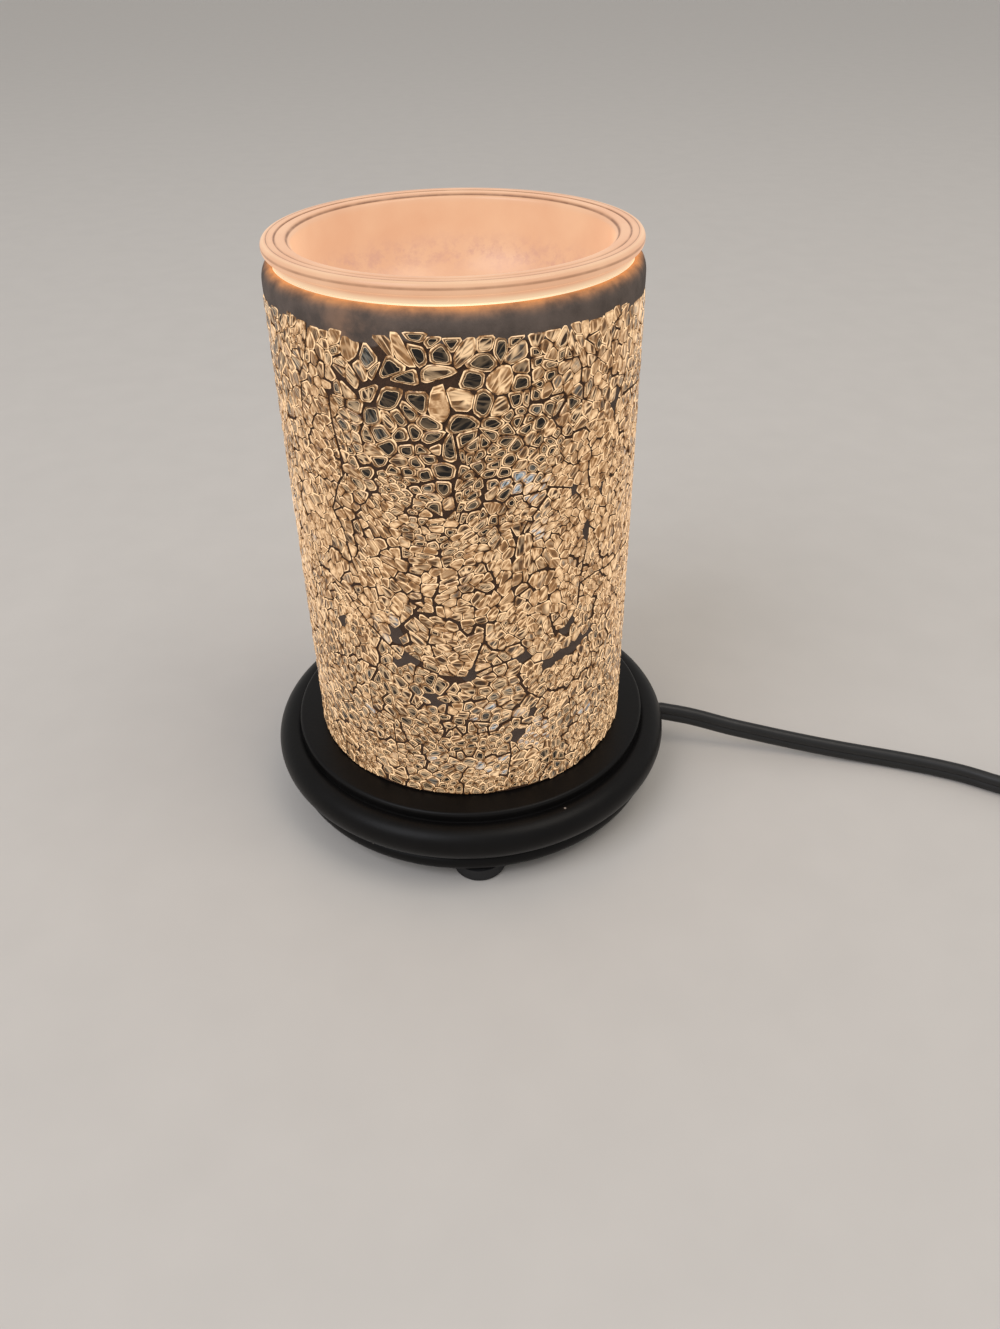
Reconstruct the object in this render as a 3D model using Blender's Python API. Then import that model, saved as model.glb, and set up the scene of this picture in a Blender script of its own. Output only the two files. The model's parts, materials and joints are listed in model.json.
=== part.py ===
"""Electric wax warmer: a glass dish on a mosaic glass shade, on a turned base with a lamp, and its cord.

Lengths are in metres, +Z is up, and the origin lies on the warmer's axis, on the surface it stands on.
The camera side of the warmer is -Y, and the cord leaves the base towards +X.
"""

from math import atan2, cos, pi, radians, sin, sqrt

import bmesh
import bpy
from mathutils import Matrix, Vector

# Clearance between pieces that touch
GAP = 0.0003

# Steps round the turned pieces
LARGE_STEPS = 48
MIDDLE_STEPS = 24
SMALL_STEPS = 12

# Edges that turn by more than this are shaded sharp
SHARP_DEG = 35

# Feet
FOOT_COUNT = 4
FIRST_FOOT_DEG = -87.0
FOOT_RADIUS = 0.0075
FOOT_HEIGHT = 0.0043
FOOT_CHAMFER = 0.0008
FOOT_SETBACK = 0.0114

# Base, from its underside up: lip, undercut, bead, groove and ledge
BASE_RADIUS = 0.060
BASE_HEIGHT = 0.0189
LIP_SETBACK = 0.0035
LIP_HEIGHT = 0.0048
UNDERCUT_HEIGHT = 0.0012
UNDERCUT_DEPTH = 0.0013
BEAD_RADIUS = 0.0051
GROOVE_DEPTH = 0.0019
LEDGE_ROUNDING = 0.0010
BASE_WALL = 0.0105
DECK_THICKNESS = 0.003
SHADE_SEAT_DEPTH = 0.0035
DECK_HOLE_RADIUS = 0.0078

# Base plate and its screws
PLATE_THICKNESS = 0.0018
PLATE_LANDING = 0.0015
PLATE_SCREW_COUNT = 4
FIRST_PLATE_SCREW_DEG = 48.0
PLATE_SCREW_INSET = 0.0095
BOSS_RADIUS = 0.0040
SCREW_SHANK_RADIUS = 0.0014
SCREW_HEAD_RADIUS = 0.0027
SCREW_HEAD_HEIGHT = 0.0012
SCREW_CROWN = 0.0005
PLATE_SCREW_LENGTH = 0.0080

# Shade: glass cylinder, grout bed and mosaic
GLASS_OUTER_RADIUS = 0.0427
GLASS_WALL = 0.0018
GLASS_HEIGHT = 0.1367
GROUT_THICKNESS = 0.0007
MOSAIC_THICKNESS = 0.0018
BAND_SETBACK = 0.0002
BAND_DEPTH = 0.0068
BAND_SWING = 0.0016
BAND_RAGGEDNESS = 0.00045
BAND_SHOULDER = 0.0038
MOSAIC_FOOT_RAGGEDNESS = 0.0003
SHADE_STEPS = 60

# Dish
DISH_CLEARANCE = 0.0004
DISH_WALL = 0.0027
DISH_FLOOR = 0.0030
DISH_DEPTH = 0.0251
DISH_FLAT_RADIUS = 0.020
COLLAR_OVERHANG = 0.0003
COLLAR_HEIGHT = 0.0028
RIM_OVERHANG = 0.0019
RIM_THICKNESS = 0.0020
RIM_STEP = 0.0011
# The rim's fine rings, as (across from the mouth, down from the top) in rim steps
RIM_RINGS = ((3.6, 0.0), (3.3, 0.25), (1.2, 0.2), (0.9, 0.7), (0.4, 1.0), (0.0, 1.6))

# Lamp holder, its bracket and fixings
BRACKET_SPAN = 0.034
BRACKET_FOOT = 0.008
BRACKET_HEIGHT = 0.0070
BRACKET_WIDTH = 0.014
BRACKET_THICKNESS = 0.0012
HOLDER_RADIUS = 0.0125
HOLDER_HEIGHT = 0.0140
HOLDER_CHAMFER = 0.0010
HOLDER_PLATE = 0.0022
ENTRY_CLEARANCE = 0.00024
HOLDER_SCREW_OFFSET = 0.0045
HOLDER_SCREW_REACH = 0.0060
BRACKET_SCREW_REACH = 0.0026
CONTACT_THICKNESS = 0.0006
CONTACT_WIDTH = 0.0034
LEAD_RADIUS = 0.0009
LEAD_CLEARANCE = 0.0005

# Lamp
PIN_SPACING = 0.010
PIN_SHAFT_RADIUS = 0.0013
PIN_HEAD_RADIUS = 0.0024
PIN_HEAD_HEIGHT = 0.0018
PIN_SEAT_DEPTH = 0.0030
KEYHOLE_TURN_DEG = 30.0
CAP_RADIUS = 0.0090
CAP_FLARE_RADIUS = 0.0115
CAP_HEIGHT = 0.0160
CAP_SOCKET_DEPTH = 0.0050
CAP_STRAIGHT_HEIGHT = 0.0080
CAP_LIP_HEIGHT = 0.0032
NECK_RADIUS = 0.0080
REFLECTOR_RADIUS = 0.0250
REFLECTOR_HEIGHT = 0.0375
REFLECTOR_WALL = 0.0014
REFLECTOR_NECK_FLOOR = 0.0035
LENS_THICKNESS = 0.0012
CAPSULE_RADIUS = 0.0042
CAPSULE_HEIGHT = 0.0210

# Cord bush in the base wall
BUSH_WALL = 0.0009
BUSH_FLANGE_RADIUS = 0.0054
BUSH_FLANGE_THICKNESS = 0.0014
BUSH_NOSE = 0.0028
BUSH_POCKET_DEPTH = 0.0061
BUSH_INNER_REACH = 0.0026
CORD_EXIT_DEG = 5.0
CORD_EXIT_HEIGHT = 0.0071

# Cord
CORD_DIAMETER = 0.0060
CORD_INNER_END = 0.0410
ROUTE_STEP = 0.0100

# Splice caps and cores
CORE_RADIUS = 0.0010
CORE_LENGTH = 0.0040
SPLICE_RADIUS = 0.0023
SPLICE_LENGTH = 0.0120
SPLICE_OFFSET = 0.0032

# In-line switch
SWITCH_X = 0.2151
SWITCH_Y = -0.031
SWITCH_LENGTH = 0.050
SWITCH_WIDTH = 0.018
SWITCH_END_WIDTH = 0.0104
SWITCH_WAIST = 0.034
SWITCH_HEIGHT = 0.0120
SWITCH_WALL = 0.0016
SWITCH_EDGE = 0.0010
ROLLER_RADIUS = 0.0075
ROLLER_THICKNESS = 0.0040
ROLLER_OUT = 0.0022
ROLLER_NOTCHES = 18
ROLLER_NOTCH_DEPTH = 0.0005
AXLE_RADIUS = 0.0012
AXLE_CLEARANCE = 0.00015
AXLE_BEARING = 0.0015
SWITCH_BOSS_RADIUS = 0.0026
SWITCH_POST_RADIUS = 0.0034
SWITCH_SINK_RADIUS = 0.0025
SWITCH_SCREW_OFFSET = 0.0128
SWITCH_LEAF_THICKNESS = 0.0005
SWITCH_LEAF_LENGTH = 0.0120

# Coil of spare cord, and its tie
COIL_MEAN_RADIUS = 0.0340
COIL_TURNS_A_LAYER = 2.75
COIL_PITCH = 0.0065
COIL_POINTS_A_TURN = 24
SWITCH_TO_COIL = 0.032
TIE_THICKNESS = 0.0005
TIE_WIDTH = 0.0045
TIE_DEG = 20.0

# Plug
TAIL_LENGTH = 0.0220
PLUG_LENGTH = 0.0230
PLUG_WIDTH = 0.0210
PLUG_NECK_WIDTH = 0.0100
PLUG_NECK_LENGTH = 0.0058
PLUG_TAPER_END = 0.0143
PLUG_HEIGHT = 0.0130
PLUG_EDGE = 0.0020
PLUG_EDGE_DEG = 50
BLADE_LENGTH = 0.0160
BLADE_WIDTH = 0.00635
BLADE_THICKNESS = 0.0015
BLADE_SPACING = 0.0127
BLADE_ROOT = 0.0030
BLADE_HOLE_RADIUS = 0.0015
BLADE_HOLE_INSET = 0.0045

# Heights and radii that follow from the sizes above
BASE_BOTTOM = FOOT_HEIGHT + GAP
LEDGE_Z = BASE_BOTTOM + BASE_HEIGHT
DECK_TOP = LEDGE_Z - SHADE_SEAT_DEPTH
DECK_UNDERSIDE = DECK_TOP - DECK_THICKNESS
BEAD_CENTRE_RADIUS = BASE_RADIUS - BEAD_RADIUS
BEAD_Z = BASE_BOTTOM + LIP_HEIGHT + UNDERCUT_HEIGHT + BEAD_RADIUS
HOLLOW_RADIUS = BASE_RADIUS - BASE_WALL
PLATE_RADIUS = HOLLOW_RADIUS + PLATE_LANDING
PLATE_BOTTOM = BASE_BOTTOM + GAP
PLATE_TOP = PLATE_BOTTOM + PLATE_THICKNESS
PLATE_SEAT = PLATE_TOP + GAP
SHADE_BOTTOM = DECK_TOP + GAP
GLASS_INNER_RADIUS = GLASS_OUTER_RADIUS - GLASS_WALL
GLASS_TOP = SHADE_BOTTOM + GLASS_HEIGHT
GROUT_INNER_RADIUS = GLASS_OUTER_RADIUS + GAP
GROUT_OUTER_RADIUS = GROUT_INNER_RADIUS + GROUT_THICKNESS
MOSAIC_INNER_RADIUS = GROUT_OUTER_RADIUS + GAP
MOSAIC_OUTER_RADIUS = MOSAIC_INNER_RADIUS + MOSAIC_THICKNESS
BAND_RADIUS = MOSAIC_OUTER_RADIUS - BAND_SETBACK
COLLAR_BOTTOM = GLASS_TOP + GAP
RIM_BOTTOM = COLLAR_BOTTOM + COLLAR_HEIGHT
RIM_TOP = RIM_BOTTOM + RIM_THICKNESS
COLLAR_RADIUS = GLASS_OUTER_RADIUS + COLLAR_OVERHANG
RIM_RADIUS = COLLAR_RADIUS + RIM_OVERHANG
SKIRT_RADIUS = GLASS_INNER_RADIUS - DISH_CLEARANCE
BRACKET_BOTTOM = DECK_TOP + GAP
BRACKET_TOP = BRACKET_BOTTOM + BRACKET_HEIGHT
HOLDER_BOTTOM = BRACKET_TOP + GAP
HOLDER_TOP = HOLDER_BOTTOM + HOLDER_HEIGHT
CHAMBER_TOP = HOLDER_TOP - HOLDER_PLATE
CHAMBER_FLOOR = CHAMBER_TOP - PIN_HEAD_HEIGHT - CONTACT_THICKNESS - 3 * GAP
CAP_BOTTOM = HOLDER_TOP + GAP
CAP_TOP = CAP_BOTTOM + CAP_HEIGHT
REFLECTOR_BOTTOM = CAP_TOP - CAP_SOCKET_DEPTH + GAP
REFLECTOR_TOP = REFLECTOR_BOTTOM + REFLECTOR_HEIGHT
CORD_RADIUS = CORD_DIAMETER / 2
CORD_EXIT_Z = BASE_BOTTOM + CORD_EXIT_HEIGHT
CORD_EXIT_TURN = radians(CORD_EXIT_DEG)
FLANGE_SEAT = BASE_RADIUS - BUSH_POCKET_DEPTH
BUSH_OUTER_END = FLANGE_SEAT + GAP + BUSH_FLANGE_THICKNESS + BUSH_NOSE
SWITCH_CORD_Z = SWITCH_HEIGHT / 2
SWITCH_START = SWITCH_X - SWITCH_LENGTH / 2
SWITCH_END = SWITCH_X + SWITCH_LENGTH / 2
ROLLER_Y = SWITCH_Y - (SWITCH_WIDTH / 2 + ROLLER_OUT - ROLLER_RADIUS)
ROLLER_LOW = (SWITCH_HEIGHT - ROLLER_THICKNESS) / 2 - GAP
ROLLER_HIGH = SWITCH_HEIGHT - ROLLER_LOW
COIL_RUN = COIL_PITCH * COIL_TURNS_A_LAYER
COIL_OUTER_RADIUS = COIL_MEAN_RADIUS + COIL_RUN / 2
COIL_X = SWITCH_END + SWITCH_TO_COIL
COIL_Y = SWITCH_Y + COIL_OUTER_RADIUS
LAYER_LOW = TIE_THICKNESS + GAP + CORD_RADIUS
LAYER_HIGH = LAYER_LOW + COIL_PITCH
COIL_START_X = COIL_X - CORD_DIAMETER
TAIL_Y = COIL_Y + COIL_OUTER_RADIUS
PLUG_CORD_END = COIL_START_X - TAIL_LENGTH
PLUG_CORD_Z = PLUG_HEIGHT / 2

# Points that the cord passes between the base and the switch, chosen by hand
LEAD_ROUTE = (
    (0.0640, 0.0050, 0.0113),
    (0.0700, 0.0042, 0.0104),
    (0.0760, 0.0030, 0.0093),
    (0.0830, 0.0015, 0.0079),
    (0.0930, -0.0004, 0.0063),
    (0.1020, -0.0023, 0.0051),
    (0.1110, -0.0044, 0.0042),
    (0.1200, -0.0065, 0.0035),
    (0.1300, -0.0091, 0.0031),
    (0.1380, -0.0116, 0.0030),
    (0.1460, -0.0145, 0.0030),
    (0.1540, -0.0180, 0.0030),
    (0.1620, -0.0226, 0.0030),
    (0.1700, -0.0266, 0.0033),
    (0.1780, -0.0293, 0.0044),
    (0.1845, -0.0307, 0.0056),
)


def clear_scene():
    for thing in list(bpy.data.objects):
        bpy.data.objects.remove(thing, do_unlink=True)


def material(name, colour, roughness, metallic=0.0):
    made = bpy.data.materials.new(name)
    made.use_nodes = True
    shader = made.node_tree.nodes["Principled BSDF"]
    shader.inputs["Base Color"].default_value = (*colour, 1.0)
    shader.inputs["Roughness"].default_value = roughness
    shader.inputs["Metallic"].default_value = metallic
    return made


def holder_of(name):
    """An empty on the warmer's axis that a group of pieces hangs on."""
    empty = bpy.data.objects.new(name, None)
    bpy.context.scene.collection.objects.link(empty)
    return empty


def place(name, data, finish, parent, location=(0.0, 0.0, 0.0), turn=0.0):
    piece = bpy.data.objects.new(name, data)
    if not data.materials:
        data.materials.append(finish)
    bpy.context.scene.collection.objects.link(piece)
    piece.location = location
    piece.rotation_euler = (0.0, 0.0, turn)
    piece.parent = parent
    return piece


def mesh_from(name, points, faces):
    """A closed mesh with its faces turned outwards and shaded smooth where it is round."""
    mesh = bpy.data.meshes.new(name)
    mesh.from_pydata([tuple(p) for p in points], [], faces)
    work = bmesh.new()
    work.from_mesh(mesh)
    bmesh.ops.recalc_face_normals(work, faces=work.faces)
    work.to_mesh(mesh)
    work.free()
    mesh.shade_smooth()
    mesh.set_sharp_from_angle(angle=radians(SHARP_DEG))
    return mesh


def turned_mesh(name, outline, steps):
    """A closed outline of (radius, height) turned round Z; a radius of 0 is one point on the axis."""
    points, rings = [], []
    for radius, height in outline:
        if radius == 0:
            rings.append([len(points)] * steps)
            points.append((0.0, 0.0, height))
            continue
        rings.append(list(range(len(points), len(points) + steps)))
        points += [(radius * cos(a), radius * sin(a), height) for a in circle(steps)]
    faces = []
    for lower, upper in zip(rings, rings[1:] + rings[:1]):
        for i in range(steps):
            j = (i + 1) % steps
            face = list(dict.fromkeys((lower[i], lower[j], upper[j], upper[i])))
            if len(face) > 2:
                faces.append(face)
    return mesh_from(name, points, faces)


def circle(steps):
    return [2 * pi * i / steps for i in range(steps)]


def prism_mesh(name, outline, low, high):
    """A plan outline of (x, y) drawn up from one height to another."""
    count = len(outline)
    points = [(x, y, low) for x, y in outline] + [(x, y, high) for x, y in outline]
    faces = [list(range(count))[::-1], list(range(count, 2 * count))]
    faces += [[i, (i + 1) % count, count + (i + 1) % count, count + i] for i in range(count)]
    return mesh_from(name, points, faces)


def box_mesh(name, low, high):
    outline = [(low[0], low[1]), (high[0], low[1]), (high[0], high[1]), (low[0], high[1])]
    return prism_mesh(name, outline, low[2], high[2])


def moved(mesh, matrix):
    mesh.transform(matrix)
    return mesh


def tool(mesh):
    """An object that only cuts or adds to another, and is no piece itself."""
    shape = bpy.data.objects.new(mesh.name, mesh)
    bpy.context.scene.collection.objects.link(shape)
    shape.hide_render = True
    shape.display_type = "WIRE"
    return shape


def combine(piece, mesh, operation, solver="EXACT"):
    step = piece.modifiers.new(mesh.name, "BOOLEAN")
    step.operation = operation
    step.solver = solver
    step.object = tool(mesh)


def cut(piece, mesh):
    combine(piece, mesh, "DIFFERENCE")


def add(piece, mesh):
    combine(piece, mesh, "UNION")


def rod_mesh(name, radius, low, high, steps=SMALL_STEPS, at=(0.0, 0.0)):
    """A plain round bar along Z, turned half a step so that its edges miss those of what it cuts."""
    outline = [(0, low), (radius, low), (radius, high), (0, high)]
    bar = moved(turned_mesh(name, outline, steps), Matrix.Rotation(pi / steps, 4, "Z"))
    return moved(bar, Matrix.Translation((*at, 0.0)))


def along(distance, turn):
    return (distance * cos(turn), distance * sin(turn))


def radial_matrix(turn, height):
    """Takes a shape along +Z to one that points outwards from the axis at a height."""
    return Matrix.Translation((0, 0, height)) @ Matrix.Rotation(turn, 4, "Z") @ Matrix.Rotation(pi / 2, 4, "Y")


def screw_mesh(name, length, head_radius):
    """A screw that points up, with a pan head whose bearing face is at the origin."""
    low, crown = -SCREW_HEAD_HEIGHT, SCREW_CROWN
    outline = [(0, low), (head_radius - crown, low), (head_radius, low + crown), (head_radius, 0)]
    outline += [(SCREW_SHANK_RADIUS, 0), (SCREW_SHANK_RADIUS, length), (0, length)]
    return turned_mesh(name, outline, SMALL_STEPS)


def arc_points(centre_radius, centre_height, radius, start_deg, end_deg, steps):
    turns = [radians(start_deg + (end_deg - start_deg) * i / steps) for i in range(steps + 1)]
    return [(centre_radius + radius * cos(a), centre_height + radius * sin(a)) for a in turns]


def base_outline():
    """The base's section, from the inner edge of its underside round the outside and back inside."""
    lip = LIP_HEIGHT / 2
    lip_centre = BASE_RADIUS - LIP_SETBACK - lip
    undercut_deg = 180 / pi * atan2(sqrt(BEAD_RADIUS**2 - UNDERCUT_DEPTH**2), -UNDERCUT_DEPTH)
    groove_deg = 180 / pi * atan2(sqrt(BEAD_RADIUS**2 - GROOVE_DEPTH**2), -GROOVE_DEPTH)
    groove_radius = BEAD_CENTRE_RADIUS - GROOVE_DEPTH
    ledge_centre = groove_radius - LEDGE_ROUNDING
    outline = [(PLATE_RADIUS + GAP, BASE_BOTTOM)]
    outline += arc_points(lip_centre, BASE_BOTTOM + lip, lip, -90, 90, 4)
    outline += [(BEAD_CENTRE_RADIUS - UNDERCUT_DEPTH, BASE_BOTTOM + LIP_HEIGHT)]
    outline += arc_points(BEAD_CENTRE_RADIUS, BEAD_Z, BEAD_RADIUS, -undercut_deg, groove_deg, 8)
    outline += arc_points(ledge_centre, LEDGE_Z - LEDGE_ROUNDING, LEDGE_ROUNDING, 0, 90, 2)
    outline += [(GROUT_INNER_RADIUS, LEDGE_Z), (GROUT_INNER_RADIUS, DECK_TOP), (DECK_HOLE_RADIUS, DECK_TOP)]
    outline += [(DECK_HOLE_RADIUS, DECK_UNDERSIDE), (HOLLOW_RADIUS, DECK_UNDERSIDE)]
    outline += [(HOLLOW_RADIUS, PLATE_SEAT), (PLATE_RADIUS + GAP, PLATE_SEAT)]
    return outline


def plate_screw_places():
    first = radians(FIRST_PLATE_SCREW_DEG)
    return [along(HOLLOW_RADIUS - PLATE_SCREW_INSET, first + a) for a in circle(PLATE_SCREW_COUNT)]


def bracket_screw_places():
    reach = BRACKET_SPAN / 2 + BRACKET_FOOT / 2
    return [(-reach, 0.0), (reach, 0.0)]


def make_base(finish, parent):
    base = place("base_body", turned_mesh("base_body", base_outline(), LARGE_STEPS), finish, parent)
    boss_top = DECK_UNDERSIDE + DECK_THICKNESS / 2
    for i, at in enumerate(plate_screw_places()):
        add(base, rod_mesh(f"boss_{i}", BOSS_RADIUS, PLATE_SEAT, boss_top, at=at))
    hole_top = PLATE_SEAT + PLATE_SCREW_LENGTH - PLATE_THICKNESS
    for i, at in enumerate(plate_screw_places()):
        cut(base, rod_mesh(f"boss_hole_{i}", SCREW_SHANK_RADIUS + GAP, BASE_BOTTOM, hole_top, at=at))
    for i, at in enumerate(bracket_screw_places()):
        low = DECK_UNDERSIDE - GAP
        cut(base, rod_mesh(f"deck_hole_{i}", SCREW_SHANK_RADIUS + GAP, low, DECK_TOP + GAP, at=at))
    outwards = radial_matrix(CORD_EXIT_TURN, CORD_EXIT_Z)
    start, end = HOLLOW_RADIUS - BUSH_INNER_REACH, BASE_RADIUS + BUSH_NOSE
    bore = rod_mesh("bush_hole", bush_radius() + GAP, start, end, MIDDLE_STEPS)
    pocket = rod_mesh("bush_pocket", BUSH_FLANGE_RADIUS + GAP, FLANGE_SEAT, end, MIDDLE_STEPS)
    cut(base, moved(bore, outwards))
    cut(base, moved(pocket, outwards))


def make_base_plate(finish, parent):
    outline = [(0, PLATE_BOTTOM), (PLATE_RADIUS, PLATE_BOTTOM), (PLATE_RADIUS, PLATE_TOP), (0, PLATE_TOP)]
    plate = place("base_plate", turned_mesh("base_plate", outline, LARGE_STEPS), finish, parent)
    for i, at in enumerate(plate_screw_places()):
        low, high = PLATE_BOTTOM - GAP, PLATE_TOP + GAP
        cut(plate, rod_mesh(f"plate_hole_{i}", SCREW_SHANK_RADIUS + GAP, low, high, at=at))


def make_plate_screws(finish, parent):
    """Screws up through the base plate into the base's bosses."""
    mesh = screw_mesh("plate_screw", PLATE_SCREW_LENGTH, SCREW_HEAD_RADIUS)
    for i, at in enumerate(plate_screw_places()):
        place(f"plate_screw_{i + 1}", mesh, finish, parent, (*at, PLATE_BOTTOM - GAP))


def make_feet(finish, parent):
    outline = [(0, 0), (FOOT_RADIUS - FOOT_CHAMFER, 0), (FOOT_RADIUS, FOOT_CHAMFER)]
    outline += [(FOOT_RADIUS, FOOT_HEIGHT), (0, FOOT_HEIGHT)]
    mesh = turned_mesh("foot", outline, SMALL_STEPS + 4)
    names = ("foot_front", "foot_right", "foot_back", "foot_left")
    for i, turn in enumerate(circle(FOOT_COUNT)):
        x, y = along(BASE_RADIUS - FOOT_SETBACK, radians(FIRST_FOOT_DEG) + turn)
        place(names[i] if i < len(names) else f"foot_{i}", mesh, finish, parent, (x, y, 0.0))


def make_shade_glass(finish, parent):
    outline = [(GLASS_INNER_RADIUS, SHADE_BOTTOM), (GLASS_OUTER_RADIUS, SHADE_BOTTOM)]
    outline += [(GLASS_OUTER_RADIUS, GLASS_TOP), (GLASS_INNER_RADIUS, GLASS_TOP)]
    place("shade_glass", turned_mesh("shade_glass", outline, SHADE_STEPS), finish, parent)


def band_edge(turn):
    """Height of the grout band's lower edge: highest at the front, lower at the sides, and ragged."""
    swing = BAND_SWING * sin(turn)
    ragged = sin(7 * turn + 0.6) + 0.7 * sin(11 * turn + 2.1) + 0.5 * sin(17 * turn)
    return GLASS_TOP - BAND_DEPTH - swing + BAND_RAGGEDNESS * ragged


def mosaic_foot(turn):
    """Height of the mosaic's lower edge, which the fragments leave uneven just above the ledge."""
    ragged = 1 + 0.6 * sin(9 * turn + 1.0) + 0.4 * sin(14 * turn)
    return LEDGE_Z + GAP + MOSAIC_FOOT_RAGGEDNESS * ragged


def ring_mesh(name, section, steps):
    """A closed ring whose section, a list of (radius, height), may change with the turn."""
    points, faces = [], []
    for a in circle(steps):
        outline = section(a)
        points += [(radius * cos(a), radius * sin(a), height) for radius, height in outline]
    count = len(outline)
    for i in range(steps):
        j = (i + 1) % steps
        for k in range(count):
            m = (k + 1) % count
            faces.append([i * count + k, j * count + k, j * count + m, i * count + m])
    return mesh_from(name, points, faces)


def grout_section(turn):
    edge = band_edge(turn)
    shoulder_z = GLASS_TOP - BAND_SHOULDER
    width = BAND_RADIUS - GROUT_INNER_RADIUS - GAP
    outline = [(GROUT_INNER_RADIUS, LEDGE_Z + GAP), (GROUT_OUTER_RADIUS, LEDGE_Z + GAP)]
    outline += [(GROUT_OUTER_RADIUS, edge), (BAND_RADIUS, edge)]
    for i in range(4):
        a = pi / 2 * i / 3
        outline.append((BAND_RADIUS - width * (1 - cos(a)), shoulder_z + BAND_SHOULDER * sin(a)))
    outline.append((GROUT_INNER_RADIUS, GLASS_TOP))
    return outline


def mosaic_section(turn):
    low, high = mosaic_foot(turn), band_edge(turn) - GAP
    return [(MOSAIC_INNER_RADIUS, low), (MOSAIC_OUTER_RADIUS, low),
            (MOSAIC_OUTER_RADIUS, high), (MOSAIC_INNER_RADIUS, high)]


def dish_outline():
    """The dish's section: out along its underside, round the rim and back down inside the bowl."""
    floor_top = RIM_TOP - DISH_DEPTH
    curve_z = COLLAR_BOTTOM - DISH_FLOOR
    outer_width = SKIRT_RADIUS - DISH_FLAT_RADIUS
    inner_width = outer_width - DISH_WALL
    edge = RIM_THICKNESS / 2
    outline = [(0, floor_top - DISH_FLOOR)]
    for i in range(7):
        a = pi / 2 * (i / 6 - 1)
        drop = curve_z - floor_top + DISH_FLOOR
        outline.append((DISH_FLAT_RADIUS + outer_width * cos(a), curve_z + drop * sin(a)))
    outline += [(SKIRT_RADIUS, COLLAR_BOTTOM), (COLLAR_RADIUS, COLLAR_BOTTOM), (COLLAR_RADIUS, RIM_BOTTOM)]
    outline += arc_points(RIM_RADIUS - edge, RIM_BOTTOM + edge, edge, -90, 90, 4)
    mouth = SKIRT_RADIUS - DISH_WALL
    outline += [(mouth + across * RIM_STEP, RIM_TOP - down * RIM_STEP) for across, down in RIM_RINGS]
    for i in range(7):
        a = -pi / 2 * i / 6
        outline.append((DISH_FLAT_RADIUS + inner_width * cos(a), curve_z + (curve_z - floor_top) * sin(a)))
    outline.append((0, floor_top))
    return outline


def bracket_outline():
    """The bracket's side view: two feet, two risers and the web between them, bent from one strip."""
    outer, inner = BRACKET_SPAN / 2, BRACKET_SPAN / 2 - BRACKET_THICKNESS
    foot = outer + BRACKET_FOOT
    low, high, t = BRACKET_BOTTOM, BRACKET_TOP, BRACKET_THICKNESS
    right = [(inner, high - t), (inner, low), (foot, low), (foot, low + t), (outer, low + t), (outer, high)]
    left = [(-x, z) for x, z in reversed(right)]
    return right + left


def make_bracket(finish, parent):
    half = BRACKET_WIDTH / 2
    strip = prism_mesh("lamp_bracket", bracket_outline(), -half, half)
    bracket = place("lamp_bracket", moved(strip, Matrix.Rotation(pi / 2, 4, "X")), finish, parent)
    low, high = BRACKET_BOTTOM - GAP, BRACKET_TOP + GAP
    for i, side in enumerate((-1, 1)):
        lead = (side * PIN_SPACING / 2, 0.0)
        fixing = (0.0, side * HOLDER_SCREW_OFFSET)
        foot = bracket_screw_places()[i]
        cut(bracket, rod_mesh(f"lead_hole_{i}", LEAD_RADIUS + LEAD_CLEARANCE, low, high, at=lead))
        cut(bracket, rod_mesh(f"fixing_hole_{i}", SCREW_SHANK_RADIUS + GAP, low, high, at=fixing))
        cut(bracket, rod_mesh(f"foot_hole_{i}", SCREW_SHANK_RADIUS + GAP, low, high, at=foot))


def make_bracket_screws(finish, parent):
    """Screws down through the bracket's feet into the deck."""
    mesh = screw_mesh("bracket_screw", BRACKET_SCREW_REACH + BRACKET_THICKNESS, SCREW_HEAD_RADIUS)
    mesh = moved(mesh, Matrix.Rotation(pi, 4, "X"))
    top = BRACKET_BOTTOM + BRACKET_THICKNESS + GAP
    for side, at in zip(("left", "right"), bracket_screw_places()):
        place("bracket_screw_" + side, mesh, finish, parent, (*at, top))


def make_holder_screws(finish, parent):
    """Screws up through the bracket's web into the holder."""
    mesh = screw_mesh("holder_screw", HOLDER_SCREW_REACH + BRACKET_THICKNESS, SCREW_HEAD_RADIUS)
    low = BRACKET_TOP - BRACKET_THICKNESS - GAP
    for name, side in (("holder_screw_front", -1), ("holder_screw_back", 1)):
        place(name, mesh, finish, parent, (0.0, side * HOLDER_SCREW_OFFSET, low))


def slot_outline(pitch_radius, half_width, start_deg, end_deg):
    """A slot that follows an arc round the axis, with round ends."""
    arc_steps, end_steps = 4, 6
    start, end = radians(start_deg), radians(end_deg)
    outline = []
    for i in range(arc_steps + 1):
        outline.append(along(pitch_radius + half_width, start + (end - start) * i / arc_steps))
    for centre_turn, first in ((end, end), (start, start + pi)):
        x, y = along(pitch_radius, centre_turn)
        for i in range(1, end_steps):
            dx, dy = along(half_width, first + pi * i / end_steps)
            outline.append((x + dx, y + dy))
        if centre_turn == end:
            for k in range(arc_steps + 1):
                outline.append(along(pitch_radius - half_width, end + (start - end) * k / arc_steps))
    return outline


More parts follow.
